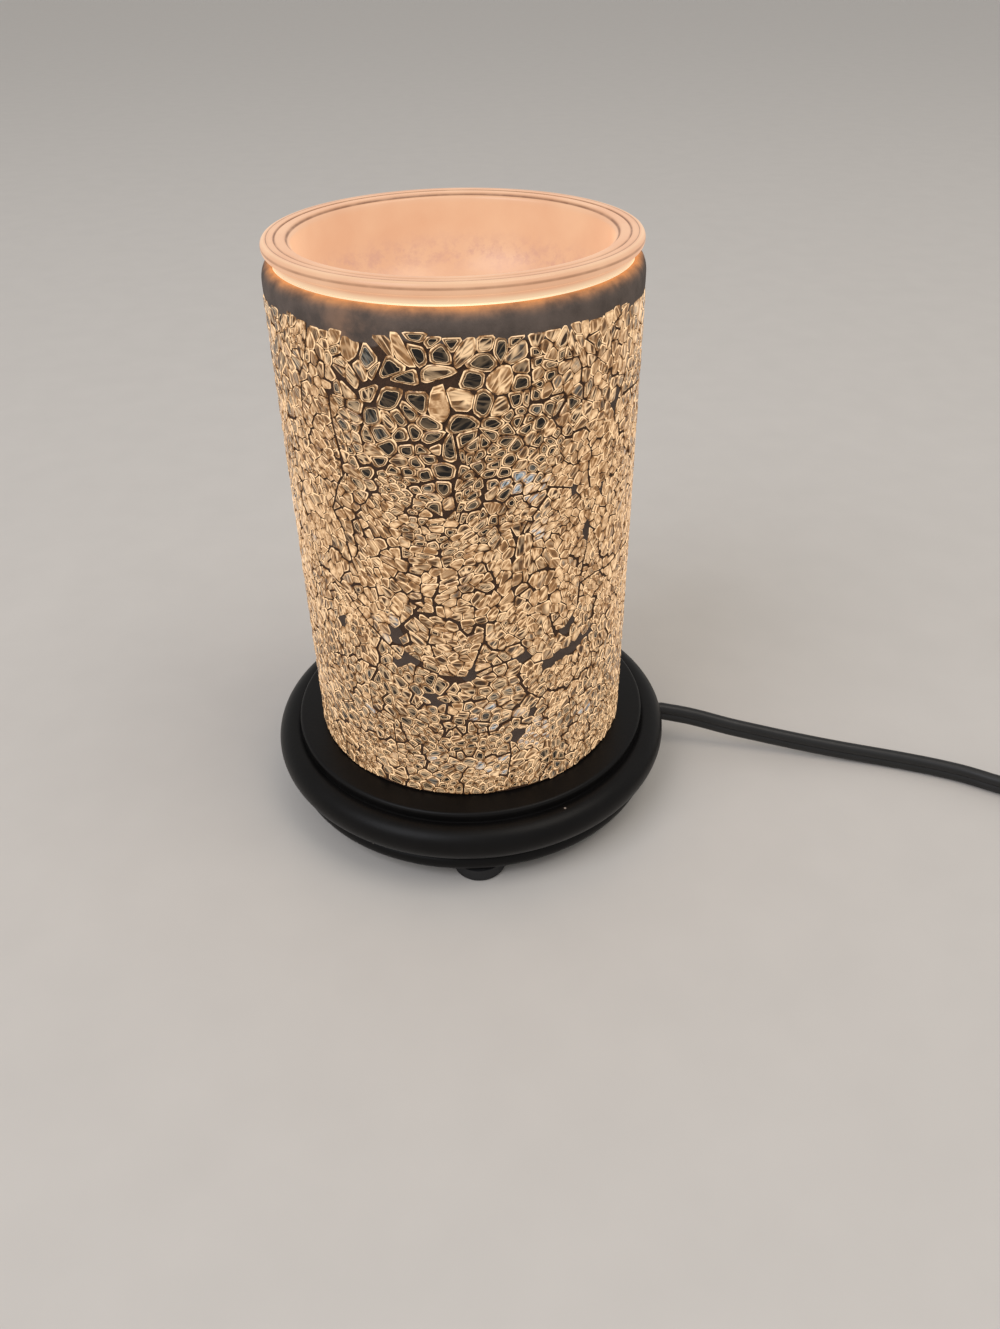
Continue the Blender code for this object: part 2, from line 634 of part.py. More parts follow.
def make_holder(finish, parent):
    outline = [(0, HOLDER_BOTTOM), (HOLDER_RADIUS - HOLDER_CHAMFER, HOLDER_BOTTOM)]
    outline += [(HOLDER_RADIUS, HOLDER_BOTTOM + HOLDER_CHAMFER), (HOLDER_RADIUS, HOLDER_TOP - HOLDER_CHAMFER)]
    outline += [(HOLDER_RADIUS - HOLDER_CHAMFER, HOLDER_TOP), (0, HOLDER_TOP)]
    body = place("lamp_holder", turned_mesh("lamp_holder", outline, MIDDLE_STEPS), finish, parent)
    pitch = PIN_SPACING / 2
    turn = KEYHOLE_TURN_DEG
    for i, side in enumerate((0.0, 180.0)):
        chamber = slot_outline(pitch, PIN_HEAD_RADIUS + GAP, side, side + turn)
        cut(body, prism_mesh(f"chamber_{i}", chamber, CHAMBER_FLOOR, CHAMBER_TOP))
        slot = slot_outline(pitch, PIN_SHAFT_RADIUS + GAP, side, side + turn)
        cut(body, prism_mesh(f"slot_{i}", slot, CHAMBER_TOP - GAP, HOLDER_TOP + GAP))
        entry = along(pitch, radians(side + turn))
        low, high = CHAMBER_TOP - 2 * GAP, HOLDER_TOP + 2 * GAP
        cut(body, rod_mesh(f"entry_{i}", PIN_HEAD_RADIUS + ENTRY_CLEARANCE, low, high, at=entry))
        lead = along(pitch, radians(side))
        low, high = HOLDER_BOTTOM - GAP, CHAMBER_FLOOR + GAP
        cut(body, rod_mesh(f"lead_way_{i}", LEAD_RADIUS + LEAD_CLEARANCE, low, high, at=lead))
    for i, side in enumerate((-1, 1)):
        top = HOLDER_BOTTOM + HOLDER_SCREW_REACH
        at = (0.0, side * HOLDER_SCREW_OFFSET)
        cut(body, rod_mesh(f"screw_way_{i}", SCREW_SHANK_RADIUS + GAP, HOLDER_BOTTOM - GAP, top, at=at))


def make_contacts(finish, parent):
    half = CONTACT_WIDTH / 2
    mesh = box_mesh("holder_contact", (-half, -half, 0.0), (half, half, CONTACT_THICKNESS))
    for name, side in (("holder_contact_left", -1), ("holder_contact_right", 1)):
        place(name, mesh, finish, parent, (side * PIN_SPACING / 2, 0.0, CHAMBER_FLOOR + GAP))


def make_lamp_pins(finish, parent):
    """Two studs below the lamp's cap: a thin shaft through the slot and a wide head in the chamber."""
    low = CHAMBER_TOP - GAP - PIN_HEAD_HEIGHT
    outline = [(0, low), (PIN_HEAD_RADIUS, low), (PIN_HEAD_RADIUS, low + PIN_HEAD_HEIGHT)]
    top = CAP_BOTTOM + PIN_SEAT_DEPTH - GAP
    outline += [(PIN_SHAFT_RADIUS, low + PIN_HEAD_HEIGHT), (PIN_SHAFT_RADIUS, top), (0, top)]
    mesh = turned_mesh("lamp_pin", outline, SMALL_STEPS)
    for name, side in (("lamp_pin_left", -1), ("lamp_pin_right", 1)):
        place(name, mesh, finish, parent, (side * PIN_SPACING / 2, 0.0, 0.0))


def make_lamp_cap(finish, parent):
    cap = place("lamp_cap", turned_mesh("lamp_cap", lamp_cap_outline(), MIDDLE_STEPS), finish, parent)
    for i, side in enumerate((-1, 1)):
        at = (side * PIN_SPACING / 2, 0.0)
        low, high = CAP_BOTTOM - GAP, CAP_BOTTOM + PIN_SEAT_DEPTH
        cut(cap, rod_mesh(f"pin_seat_{i}", PIN_SHAFT_RADIUS + GAP, low, high, at=at))


def lamp_cap_outline():
    low, flare = CAP_BOTTOM, CAP_TOP - CAP_LIP_HEIGHT
    socket = NECK_RADIUS + GAP
    outline = [(0, low), (CAP_RADIUS, low), (CAP_RADIUS, low + CAP_STRAIGHT_HEIGHT), (CAP_FLARE_RADIUS, flare)]
    outline += [(CAP_FLARE_RADIUS, CAP_TOP), (socket, CAP_TOP)]
    outline += [(socket, CAP_TOP - CAP_SOCKET_DEPTH), (0, CAP_TOP - CAP_SOCKET_DEPTH)]
    return outline


def bowl_radius(share):
    """The reflector's outer radius at a share of its bowl's height: a parabola on its side."""
    return NECK_RADIUS + (REFLECTOR_RADIUS - NECK_RADIUS) * sqrt(share)


def reflector_outline():
    neck_top = REFLECTOR_BOTTOM + CAP_SOCKET_DEPTH
    seat = REFLECTOR_TOP - LENS_THICKNESS - 2 * GAP
    bowl = seat - neck_top
    steps = 6
    floor = REFLECTOR_BOTTOM + REFLECTOR_NECK_FLOOR
    outline = [(0, REFLECTOR_BOTTOM), (NECK_RADIUS, REFLECTOR_BOTTOM)]
    outline += [(bowl_radius((i / steps) ** 2), neck_top + bowl * (i / steps) ** 2) for i in range(steps + 1)]
    outline += [(REFLECTOR_RADIUS, REFLECTOR_TOP), (REFLECTOR_RADIUS - REFLECTOR_WALL / 2, REFLECTOR_TOP)]
    outline += [(REFLECTOR_RADIUS - REFLECTOR_WALL / 2, seat)]
    for i in range(steps, 0, -1):
        share = (i / steps) ** 2
        outline.append((bowl_radius(share) - REFLECTOR_WALL, neck_top + bowl * share))
    outline += [(NECK_RADIUS - 2 * REFLECTOR_WALL, neck_top), (NECK_RADIUS - 2 * REFLECTOR_WALL, floor), (0, floor)]
    return outline


def make_lamp_glass(reflector_finish, clear_finish, parent):
    reflector = turned_mesh("lamp_reflector", reflector_outline(), MIDDLE_STEPS)
    place("lamp_reflector", reflector, reflector_finish, parent)
    radius = REFLECTOR_RADIUS - REFLECTOR_WALL / 2 - GAP
    seat = REFLECTOR_TOP - LENS_THICKNESS - GAP
    outline = [(0, seat), (radius, seat), (radius, seat + LENS_THICKNESS), (0, seat + LENS_THICKNESS)]
    place("lamp_lens", turned_mesh("lamp_lens", outline, MIDDLE_STEPS), clear_finish, parent)
    low = REFLECTOR_BOTTOM + REFLECTOR_NECK_FLOOR + GAP
    high = low + CAPSULE_HEIGHT
    r = CAPSULE_RADIUS
    capsule = [(0, low), (0.6 * r, low), (0.7 * r, low + r), (r, low + 2 * r), (r, high - r)]
    capsule += [(0.7 * r, high - 0.3 * r), (0, high)]
    place("lamp_capsule", turned_mesh("lamp_capsule", capsule, SMALL_STEPS), clear_finish, parent)


def bush_radius():
    return CORD_RADIUS + GAP + BUSH_WALL


def make_bush(finish, parent):
    """The bush: a sleeve through the base wall, a flange in the pocket and a short nose outside."""
    bore, sleeve = CORD_RADIUS + GAP, bush_radius()
    inner_end = HOLLOW_RADIUS - BUSH_INNER_REACH
    seat = FLANGE_SEAT + GAP
    flange_end = seat + BUSH_FLANGE_THICKNESS
    outline = [(bore, inner_end), (sleeve, inner_end), (sleeve, seat), (BUSH_FLANGE_RADIUS, seat)]
    outline += [(BUSH_FLANGE_RADIUS, flange_end), (sleeve, flange_end), (sleeve, BUSH_OUTER_END)]
    outline += [(bore, BUSH_OUTER_END)]
    mesh = turned_mesh("cord_bush", outline, MIDDLE_STEPS)
    place("cord_bush", moved(mesh, radial_matrix(CORD_EXIT_TURN, CORD_EXIT_Z)), finish, parent)


def smooth_route(route, step):
    """Points about one step apart on a smooth curve through the route's points."""
    knots = [Vector(p) for p in route]
    spans = [(b - a).length for a, b in zip(knots, knots[1:])]
    slopes = []
    for i in range(len(knots)):
        before, after = max(i - 1, 0), min(i + 1, len(knots) - 1)
        run = sum(spans[before:after])
        slopes.append((knots[after] - knots[before]) / run)
    points = [knots[0]]
    for i, span in enumerate(spans):
        parts = max(1, round(span / step))
        for k in range(1, parts + 1):
            t = k / parts
            a, b = knots[i], knots[i + 1]
            m, n = slopes[i] * span, slopes[i + 1] * span
            points.append(a * (2 * t**3 - 3 * t**2 + 1) + m * (t**3 - 2 * t**2 + t)
                          + b * (3 * t**2 - 2 * t**3) + n * (t**3 - t**2))
    return points


def tube_data(name, points, radius, resolution):
    curve = bpy.data.curves.new(name, "CURVE")
    curve.dimensions = "3D"
    curve.bevel_depth = radius
    curve.bevel_resolution = resolution
    curve.use_fill_caps = True
    spline = curve.splines.new("POLY")
    spline.points.add(len(points) - 1)
    for spot, point in zip(spline.points, points):
        spot.co = (*point, 1.0)
    return curve


def tube(name, points, radius, resolution, finish, parent):
    return place(name, tube_data(name, points, radius, resolution), finish, parent)


def lead_route():
    """The cord from its end inside the base, through the bush and over the table to the switch."""
    inside = [CORD_INNER_END, HOLLOW_RADIUS, BUSH_OUTER_END, BUSH_OUTER_END + CORD_RADIUS]
    start = [(*along(r, CORD_EXIT_TURN), CORD_EXIT_Z) for r in inside]
    end = [(SWITCH_START - GAP, SWITCH_Y, SWITCH_CORD_Z)]
    return start + list(LEAD_ROUTE) + end


def link_route():
    """The short run from the switch down to the coil's first layer."""
    start, end = SWITCH_END + GAP, COIL_START_X - GAP
    return [(start + (end - start) * i / 6, SWITCH_Y, eased(SWITCH_CORD_Z, LAYER_LOW, i / 6)) for i in range(7)]


def tail_route():
    """The run from the coil's upper layer down to the plug."""
    start, end = COIL_START_X - GAP, PLUG_CORD_END + GAP
    return [(start + (end - start) * i / 8, TAIL_Y, eased(LAYER_HIGH, PLUG_CORD_Z, i / 8)) for i in range(9)]


def eased(low, high, share):
    return low + (high - low) * (1 - cos(pi * share)) / 2


def coil_points():
    """The coil spirals in on the table and out again above, and climbs in the half turn between."""
    half = 2 * pi * COIL_TURNS_A_LAYER
    steps = round(2 * COIL_TURNS_A_LAYER * COIL_POINTS_A_TURN)
    points = [(COIL_START_X, SWITCH_Y, LAYER_LOW)]
    for i in range(steps + 1):
        turn = 2 * half * i / steps
        radius = COIL_OUTER_RADIUS - COIL_PITCH * (half - abs(turn - half)) / (2 * pi)
        climb = min(max((turn - half) / pi + 0.5, 0.0), 1.0)
        x, y = along(radius, turn - pi / 2)
        points.append((COIL_X + x, COIL_Y + y, eased(LAYER_LOW, LAYER_HIGH, climb)))
    x, y, z = points[-1]
    points.append((x - CORD_DIAMETER, y, z))
    return points


def least_gap(points):
    """The least clear space between turns, measured on points a good part of a turn apart."""
    apart = COIL_POINTS_A_TURN // 2
    fine = []
    for a, b in zip(points, points[1:]):
        fine += [Vector(a).lerp(Vector(b), k / 3) for k in range(3)]
    least = min((p - q).length for i, p in enumerate(fine) for q in fine[i + 3 * apart:])
    return least - CORD_DIAMETER


def make_coil(finish, parent):
    points = coil_points()
    print(f"least gap between the coil's turns: {least_gap(points) * 1000:.2f} mm")
    tube("cord_coil", points, CORD_RADIUS, 1, finish, parent)


def make_tie(finish, parent):
    """A band round the coil's section, standing on the table under it."""
    inner = COIL_OUTER_RADIUS - COIL_RUN - CORD_RADIUS - 2 * GAP
    outer = COIL_OUTER_RADIUS + CORD_RADIUS + 2 * GAP
    low, high = TIE_THICKNESS, LAYER_HIGH + CORD_RADIUS + GAP
    t, half = TIE_THICKNESS, TIE_WIDTH / 2
    spot = Matrix.Translation((COIL_X, COIL_Y, 0.0)) @ Matrix.Rotation(radians(TIE_DEG), 4, "Z")
    band = box_mesh("coil_tie", (inner - t, -half, low - t), (outer + t, half, high + t))
    tie = place("coil_tie", moved(band, spot), finish, parent)
    way = box_mesh("tie_way", (inner, -TIE_WIDTH, low), (outer, TIE_WIDTH, high))
    cut(tie, moved(way, spot))


def make_cores(finish, parent):
    """The cord's two cores, from its inner end to the splice caps."""
    start, end = CORD_INNER_END - GAP, CORD_INNER_END - CORE_LENGTH
    for name, side in (("cord_core_front", -1), ("cord_core_back", 1)):
        near, far = side * (CORE_RADIUS + GAP / 2), side * SPLICE_OFFSET
        knots = [(start + (end - start) * i / 4, eased(near, far, i / 4), 0.0) for i in range(5)]
        core = bar_mesh(name, knots, CORE_RADIUS, 8)
        place(name, core, finish, parent, (0, 0, CORD_EXIT_Z), CORD_EXIT_TURN)


def bar_mesh(name, knots, radius, sides):
    """A round bar whose sections all stand square to X, for short runs that hardly bend."""
    points, faces = [], []
    for x, y, z in knots:
        points += [(x, y + radius * cos(a), z + radius * sin(a)) for a in circle(sides)]
    for i in range(len(knots) - 1):
        for k in range(sides):
            m = (k + 1) % sides
            faces.append([i * sides + k, i * sides + m, (i + 1) * sides + m, (i + 1) * sides + k])
    last = (len(knots) - 1) * sides
    faces += [list(range(sides)), list(range(last, last + sides))]
    return mesh_from(name, points, faces)


def make_splices(finish, parent):
    end = CORD_INNER_END - CORE_LENGTH - GAP
    names = ("splice_cap_front", "splice_cap_back")
    for name, side in zip(names, (-1, 1)):
        r = SPLICE_RADIUS
        outline = [(0, end - SPLICE_LENGTH), (0.7 * r, end - SPLICE_LENGTH), (r, end - 0.8 * SPLICE_LENGTH)]
        outline += [(r, end - 0.1 * SPLICE_LENGTH), (0.85 * r, end), (0, end)]
        mesh = moved(turned_mesh(name, outline, SMALL_STEPS), Matrix.Rotation(pi / 2, 4, "Y"))
        mesh = moved(mesh, Matrix.Translation((0, side * SPLICE_OFFSET, 0)))
        place(name, mesh, finish, parent, (0, 0, CORD_EXIT_Z), CORD_EXIT_TURN)


def make_lamp_leads(finish, parent):
    """Each lead drops from its contact through the deck and turns towards its splice cap."""
    end = CORD_INNER_END - CORE_LENGTH - SPLICE_LENGTH - 2 * GAP
    for name, side in (("lamp_lead_front", -1), ("lamp_lead_back", 1)):
        x = side * PIN_SPACING / 2
        target = Matrix.Rotation(CORD_EXIT_TURN, 3, "Z") @ Vector((end, side * SPLICE_OFFSET, 0))
        last = Vector((target.x, target.y, CORD_EXIT_Z))
        before = last - Vector((*along(4 * LEAD_RADIUS, CORD_EXIT_TURN), 0.0))
        deck = DECK_UNDERSIDE
        route = [(x, 0, CHAMBER_FLOOR), (x, 0, BRACKET_BOTTOM), (x, side * 0.3 * SPLICE_OFFSET, deck)]
        middle = (before.x + x) / 2
        route += [(middle, side * SPLICE_OFFSET, CORD_EXIT_Z + LEAD_RADIUS), before, last]
        tube(name, smooth_route(route, 3 * LEAD_RADIUS), LEAD_RADIUS, 1, finish, parent)


def switch_outline(inset):
    """The switch's plan: a wide middle and ends that narrow towards the cord, as shares of its sizes."""
    x, waist = SWITCH_LENGTH / 2 - inset, SWITCH_WAIST / 2 - 0.4 * inset
    y, end = SWITCH_WIDTH / 2 - inset, SWITCH_END_WIDTH / 2 - inset
    quarter = [(x, 0.75 * end), (x - 0.25 * end, end), (waist + 0.2 * (x - waist), 0.88 * y), (waist, y)]
    top = quarter + [(-a, b) for a, b in reversed(quarter)]
    return top + [(a, -b) for a, b in reversed(top)]


def lofted_mesh(name, layers):
    """A closed solid through plan outlines that have as many points as each other, each at its height."""
    count = len(layers[0][0])
    points = [(x, y, z) for outline, z in layers for x, y in outline]
    last = len(points) - count
    faces = [list(range(count))[::-1], list(range(last, last + count))]
    for first in range(0, last, count):
        faces += [[first + i, first + (i + 1) % count, first + count + (i + 1) % count, first + count + i]
                  for i in range(count)]
    return mesh_from(name, points, faces)


def switch_bar(name, radius, low, high, at):
    """A round bar in the switch, at a place given from the switch's middle."""
    return rod_mesh(name, radius, low, high, at=(SWITCH_X + at[0], SWITCH_Y + at[1]))


def roller_way(name):
    """The room for the roller, which opens in the switch's near side."""
    at = (SWITCH_X, ROLLER_Y)
    return rod_mesh(name, ROLLER_RADIUS + 2 * GAP, ROLLER_LOW, ROLLER_HIGH, MIDDLE_STEPS, at=at)


def make_switch_shells(finish, parent):
    """Two moulded halves: the lower carries the roller's axle, and a screw from below joins them."""
    middle, centre = Matrix.Translation((SWITCH_X, SWITCH_Y, 0.0)), SWITCH_HEIGHT / 2
    full, eased_in, inside = switch_outline(0.0), switch_outline(SWITCH_EDGE), switch_outline(SWITCH_WALL)
    post, axle = (SWITCH_SCREW_OFFSET, 0.0), (0.0, ROLLER_Y - SWITCH_Y)
    roof = SWITCH_HEIGHT - SWITCH_WALL
    split_low, split_high = centre - GAP / 2, centre + GAP / 2

    outer = lofted_mesh("switch_lower_shell", [(eased_in, 0.0), (full, SWITCH_EDGE), (full, split_low)])
    lower = place("switch_lower_shell", moved(outer, middle), finish, parent)
    room = moved(prism_mesh("lower_room", inside, SWITCH_WALL, centre + SWITCH_WALL), middle)
    steps = [(room, "DIFFERENCE"), (roller_way("lower_roller_way"), "DIFFERENCE")]
    for name, radius, low, high, at, operation in (
        ("lower_post", SWITCH_POST_RADIUS, SWITCH_WALL / 2, split_low, post, "UNION"),
        ("lower_boss", SWITCH_BOSS_RADIUS, SWITCH_WALL / 2, ROLLER_LOW, axle, "UNION"),
        ("axle", AXLE_RADIUS, SWITCH_WALL / 2, ROLLER_HIGH + AXLE_BEARING - GAP, axle, "UNION"),
        ("lower_screw_way", SCREW_SHANK_RADIUS + GAP, -GAP, centre + GAP, post, "DIFFERENCE"),
        ("screw_sink", SWITCH_SINK_RADIUS, -GAP, SCREW_HEAD_HEIGHT + 2 * GAP, post, "DIFFERENCE"),
    ):
        steps.append((switch_bar(name, radius, low, high, at), operation))
    for mesh, operation in steps:
        combine(lower, mesh, operation, "MANIFOLD")

    outer = lofted_mesh("switch_upper_shell", [(full, split_high), (full, SWITCH_HEIGHT - SWITCH_EDGE),
                                               (eased_in, SWITCH_HEIGHT)])
    upper = place("switch_upper_shell", moved(outer, middle), finish, parent)
    room = moved(prism_mesh("upper_room", inside, centre - SWITCH_WALL, roof), middle)
    steps = [(room, "DIFFERENCE"), (roller_way("upper_roller_way"), "DIFFERENCE")]
    for name, radius, low, high, at, operation in (
        ("upper_post", SWITCH_POST_RADIUS, split_high, roof + SWITCH_WALL / 2, post, "UNION"),
        ("upper_boss", SWITCH_BOSS_RADIUS, ROLLER_HIGH, roof + SWITCH_WALL / 2, axle, "UNION"),
        ("bearing", AXLE_RADIUS + GAP, ROLLER_HIGH - GAP, ROLLER_HIGH + AXLE_BEARING, axle, "DIFFERENCE"),
        ("upper_screw_way", SCREW_SHANK_RADIUS + GAP, centre, roof - GAP, post, "DIFFERENCE"),
    ):
        steps.append((switch_bar(name, radius, low, high, at), operation))
    for mesh, operation in steps:
        combine(upper, mesh, operation, "MANIFOLD")


def make_switch_inside(screw_finish, brass_finish, parent):
    low = GAP + SCREW_HEAD_HEIGHT
    screw = screw_mesh("switch_screw", SWITCH_HEIGHT - SWITCH_WALL - 2 * GAP - low, SWITCH_SINK_RADIUS - GAP)
    place("switch_screw", screw, screw_finish, parent, (SWITCH_X + SWITCH_SCREW_OFFSET, SWITCH_Y, low))
    near = ROLLER_Y + ROLLER_RADIUS + GAP
    height = SWITCH_HEIGHT / 2 + ROLLER_THICKNESS / 3 - SWITCH_WALL - GAP
    leaf = box_mesh("switch_contact", (0.0, 0.0, 0.0), (SWITCH_LEAF_LENGTH, SWITCH_LEAF_THICKNESS, height))
    for name, start in (("switch_contact_left", -GAP - SWITCH_LEAF_LENGTH), ("switch_contact_right", GAP)):
        place(name, leaf, brass_finish, parent, (SWITCH_X + start, near, SWITCH_WALL + GAP))


def make_roller(finish, parent):
    """The roller wheel with thumb notches round its edge, on the switch's axle."""
    low = -ROLLER_THICKNESS / 2
    count = 2 * ROLLER_NOTCHES
    radii = [ROLLER_RADIUS - ROLLER_NOTCH_DEPTH * (i % 2) for i in range(count)]
    rim = [along(radius, a) for radius, a in zip(radii, circle(count))]
    bore = [along(AXLE_RADIUS + AXLE_CLEARANCE, a) for a in circle(count)]
    points = [(x, y, z) for z in (low, -low) for ring in (rim, bore) for x, y in ring]
    faces = []
    for i in range(count):
        j = (i + 1) % count
        rim_low, bore_low, rim_high, bore_high = (k * count for k in range(4))
        faces.append([rim_low + i, rim_low + j, rim_high + j, rim_high + i])
        faces.append([bore_low + j, bore_low + i, bore_high + i, bore_high + j])
        faces.append([rim_high + i, rim_high + j, bore_high + j, bore_high + i])
        faces.append([rim_low + j, rim_low + i, bore_low + i, bore_low + j])
    mesh = mesh_from("switch_roller", points, faces)
    place("switch_roller", mesh, finish, parent, (SWITCH_X, ROLLER_Y, SWITCH_HEIGHT / 2))


def plug_outline():
    """The plug's plan, narrow at the cord and wide at the blades, pointing along -X."""
    neck, wide = PLUG_NECK_WIDTH / 2, PLUG_WIDTH / 2
    side = [(0.0, neck), (-PLUG_NECK_LENGTH, neck), (-PLUG_TAPER_END, wide), (-PLUG_LENGTH, wide)]
    return side + [(x, -y) for x, y in reversed(side)]


def make_plug(finish, blade_finish, parent):
    at = (PLUG_CORD_END, TAIL_Y, 0.0)
    body = place("plug_body", prism_mesh("plug_body", plug_outline(), 0.0, PLUG_HEIGHT), finish, parent, at)
    rounding = body.modifiers.new("edges", "BEVEL")
    rounding.width, rounding.segments, rounding.limit_method = PLUG_EDGE, 2, "ANGLE"
    rounding.angle_limit = radians(PLUG_EDGE_DEG)
    face = PLUG_CORD_END - PLUG_LENGTH
    half_thick, half_wide = BLADE_THICKNESS / 2 + GAP, BLADE_WIDTH / 2 + GAP
    blade = blade_mesh("plug_blade", -BLADE_LENGTH, BLADE_ROOT - GAP)
    for name, side in (("plug_blade_front", -1), ("plug_blade_back", 1)):
        y = TAIL_Y + side * BLADE_SPACING / 2
        low = (face - GAP, y - half_thick, PLUG_CORD_Z - half_wide)
        high = (face + BLADE_ROOT, y + half_thick, PLUG_CORD_Z + half_wide)
        cut(body, box_mesh(name + "_pocket", low, high))
        place(name, blade, blade_finish, parent, (face, y, PLUG_CORD_Z))


def blade_mesh(name, tip, root):
    """A flat blade with chamfered tip corners, standing on edge, with the round hole near its tip."""
    half, corner = BLADE_WIDTH / 2, BLADE_WIDTH / 5
    outline = [(tip, -half + corner), (tip + corner, -half), (root, -half), (root, half)]
    outline += [(tip + corner, half), (tip, half - corner)]
    hole_x = tip + BLADE_HOLE_INSET
    hole = [(hole_x + BLADE_HOLE_RADIUS * cos(a), BLADE_HOLE_RADIUS * sin(a)) for a in circle(12)]
    work = bmesh.new()
    loops = [[work.verts.new((x, z, 0.0)) for x, z in ring] for ring in (outline, hole)]
    edges = [work.edges.new((ring[i], ring[(i + 1) % len(ring)])) for ring in loops for i in range(len(ring))]
    bmesh.ops.triangle_fill(work, use_beauty=True, edges=edges)
    out = bmesh.ops.extrude_face_region(work, geom=work.faces[:])
    up = [v for v in out["geom"] if isinstance(v, bmesh.types.BMVert)]
    bmesh.ops.translate(work, verts=up, vec=(0, 0, BLADE_THICKNESS))
    bmesh.ops.recalc_face_normals(work, faces=work.faces)
    mesh = bpy.data.meshes.new(name)
    work.to_mesh(mesh)
    work.free()
    stand = Matrix.Translation((0, BLADE_THICKNESS / 2, 0)) @ Matrix.Rotation(pi / 2, 4, "X")
    return moved(mesh, stand)


def build():
    clear_scene()
    black_paint = material("black_satin_paint", (0.010, 0.009, 0.009), 0.42)
    black_card = material("black_fibreboard", (0.012, 0.012, 0.012), 0.80)
    rubber = material("black_rubber", (0.012, 0.012, 0.013), 0.75)
    clear_glass = material("clear_glass", (0.80, 0.82, 0.80), 0.05)
    frosted_glass = material("frosted_glass", (0.86, 0.58, 0.40), 0.45)
    crackled_glass = material("crackled_glass", (0.62, 0.50, 0.34), 0.20)
    grout = material("grey_grout", (0.090, 0.078, 0.072), 0.90)
    ceramic = material("white_ceramic", (0.78, 0.76, 0.70), 0.35)
    mirror = material("mirrored_glass", (0.80, 0.80, 0.82), 0.15, 0.9)
    steel = material("zinc_plated_steel", (0.55, 0.55, 0.56), 0.35, 1.0)
    brass = material("brass", (0.70, 0.50, 0.20), 0.30, 1.0)
    sleeve = material("white_silicone_sleeve", (0.75, 0.74, 0.70), 0.60)
    nylon = material("black_nylon", (0.015, 0.015, 0.016), 0.55)
    vinyl = material("black_vinyl", (0.010, 0.010, 0.011), 0.50)

    warmer = holder_of("warmer")
    dish_lift = holder_of("dish_lift")
    lamp_twist = holder_of("lamp_twist")
    cord_set = holder_of("cord_set")
    for group in (dish_lift, lamp_twist, cord_set):
        group.parent = warmer

    make_base(black_paint, warmer)
    make_base_plate(black_card, warmer)
    make_plate_screws(steel, warmer)
    make_feet(rubber, warmer)
    make_bush(nylon, warmer)
    make_shade_glass(clear_glass, warmer)
    place("grout_bed", ring_mesh("grout_bed", grout_section, SHADE_STEPS), grout, warmer)
    place("mosaic", ring_mesh("mosaic", mosaic_section, SHADE_STEPS), crackled_glass, warmer)
    place("dish", turned_mesh("dish", dish_outline(), LARGE_STEPS), frosted_glass, dish_lift)

    make_bracket(steel, warmer)
    make_bracket_screws(steel, warmer)
    make_holder(ceramic, warmer)
    make_holder_screws(steel, warmer)
    make_contacts(brass, warmer)
    make_lamp_leads(sleeve, warmer)
    make_splices(nylon, warmer)
    make_cores(vinyl, warmer)
    make_lamp_pins(steel, lamp_twist)
    make_lamp_cap(ceramic, lamp_twist)
    make_lamp_glass(mirror, clear_glass, lamp_twist)

    tube("cord_lead", smooth_route(lead_route(), ROUTE_STEP), CORD_RADIUS, 2, vinyl, cord_set)
    make_switch_shells(vinyl, cord_set)
    make_switch_inside(steel, brass, cord_set)
    make_roller(vinyl, cord_set)
    tube("cord_link", link_route(), CORD_RADIUS, 2, vinyl, cord_set)
    make_coil(vinyl, cord_set)
    make_tie(vinyl, cord_set)
    tube("cord_tail", tail_route(), CORD_RADIUS, 2, vinyl, cord_set)
    make_plug(vinyl, brass, cord_set)


build()
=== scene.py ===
"""Electric wax warmer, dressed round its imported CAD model: each operator makes one group of pieces.

Shapes are surfaces worked out with numpy in millimetres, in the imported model's frame: +Z up, the
origin on the warmer's axis at the table, the front towards -Y and the cord leaving towards +X.
"""

import json

import bmesh
import bpy
import numpy as np
from bpy.props import FloatProperty, FloatVectorProperty, PointerProperty
from bpy.types import Operator, Panel, PropertyGroup
from mathutils import Matrix, Vector

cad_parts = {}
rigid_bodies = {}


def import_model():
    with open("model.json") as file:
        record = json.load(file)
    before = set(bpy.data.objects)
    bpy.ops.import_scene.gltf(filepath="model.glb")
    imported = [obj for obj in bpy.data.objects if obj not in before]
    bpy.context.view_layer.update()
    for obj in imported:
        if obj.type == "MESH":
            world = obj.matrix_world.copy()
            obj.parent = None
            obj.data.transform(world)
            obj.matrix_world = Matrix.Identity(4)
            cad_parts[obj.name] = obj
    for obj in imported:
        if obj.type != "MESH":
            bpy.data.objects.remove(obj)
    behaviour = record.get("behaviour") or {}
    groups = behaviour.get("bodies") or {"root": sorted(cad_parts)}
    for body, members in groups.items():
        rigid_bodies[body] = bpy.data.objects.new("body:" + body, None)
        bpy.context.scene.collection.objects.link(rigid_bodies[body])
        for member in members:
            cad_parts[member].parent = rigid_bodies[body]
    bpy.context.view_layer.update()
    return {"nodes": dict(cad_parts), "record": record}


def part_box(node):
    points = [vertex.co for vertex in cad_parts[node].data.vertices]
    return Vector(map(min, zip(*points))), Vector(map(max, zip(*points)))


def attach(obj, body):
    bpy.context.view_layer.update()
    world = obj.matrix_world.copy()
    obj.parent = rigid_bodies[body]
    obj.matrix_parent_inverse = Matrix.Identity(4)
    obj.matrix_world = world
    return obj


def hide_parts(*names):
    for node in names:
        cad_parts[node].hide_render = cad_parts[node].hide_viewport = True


bl_info = {
    "name": "Electric wax warmer",
    "version": (1, 0, 0),
    "blender": (4, 5, 0),
    "location": "3D View > Sidebar > Warmer",
    "description": "Builds an electric wax warmer with a mosaic glass shade round its packed frame",
    "category": "Object",
}

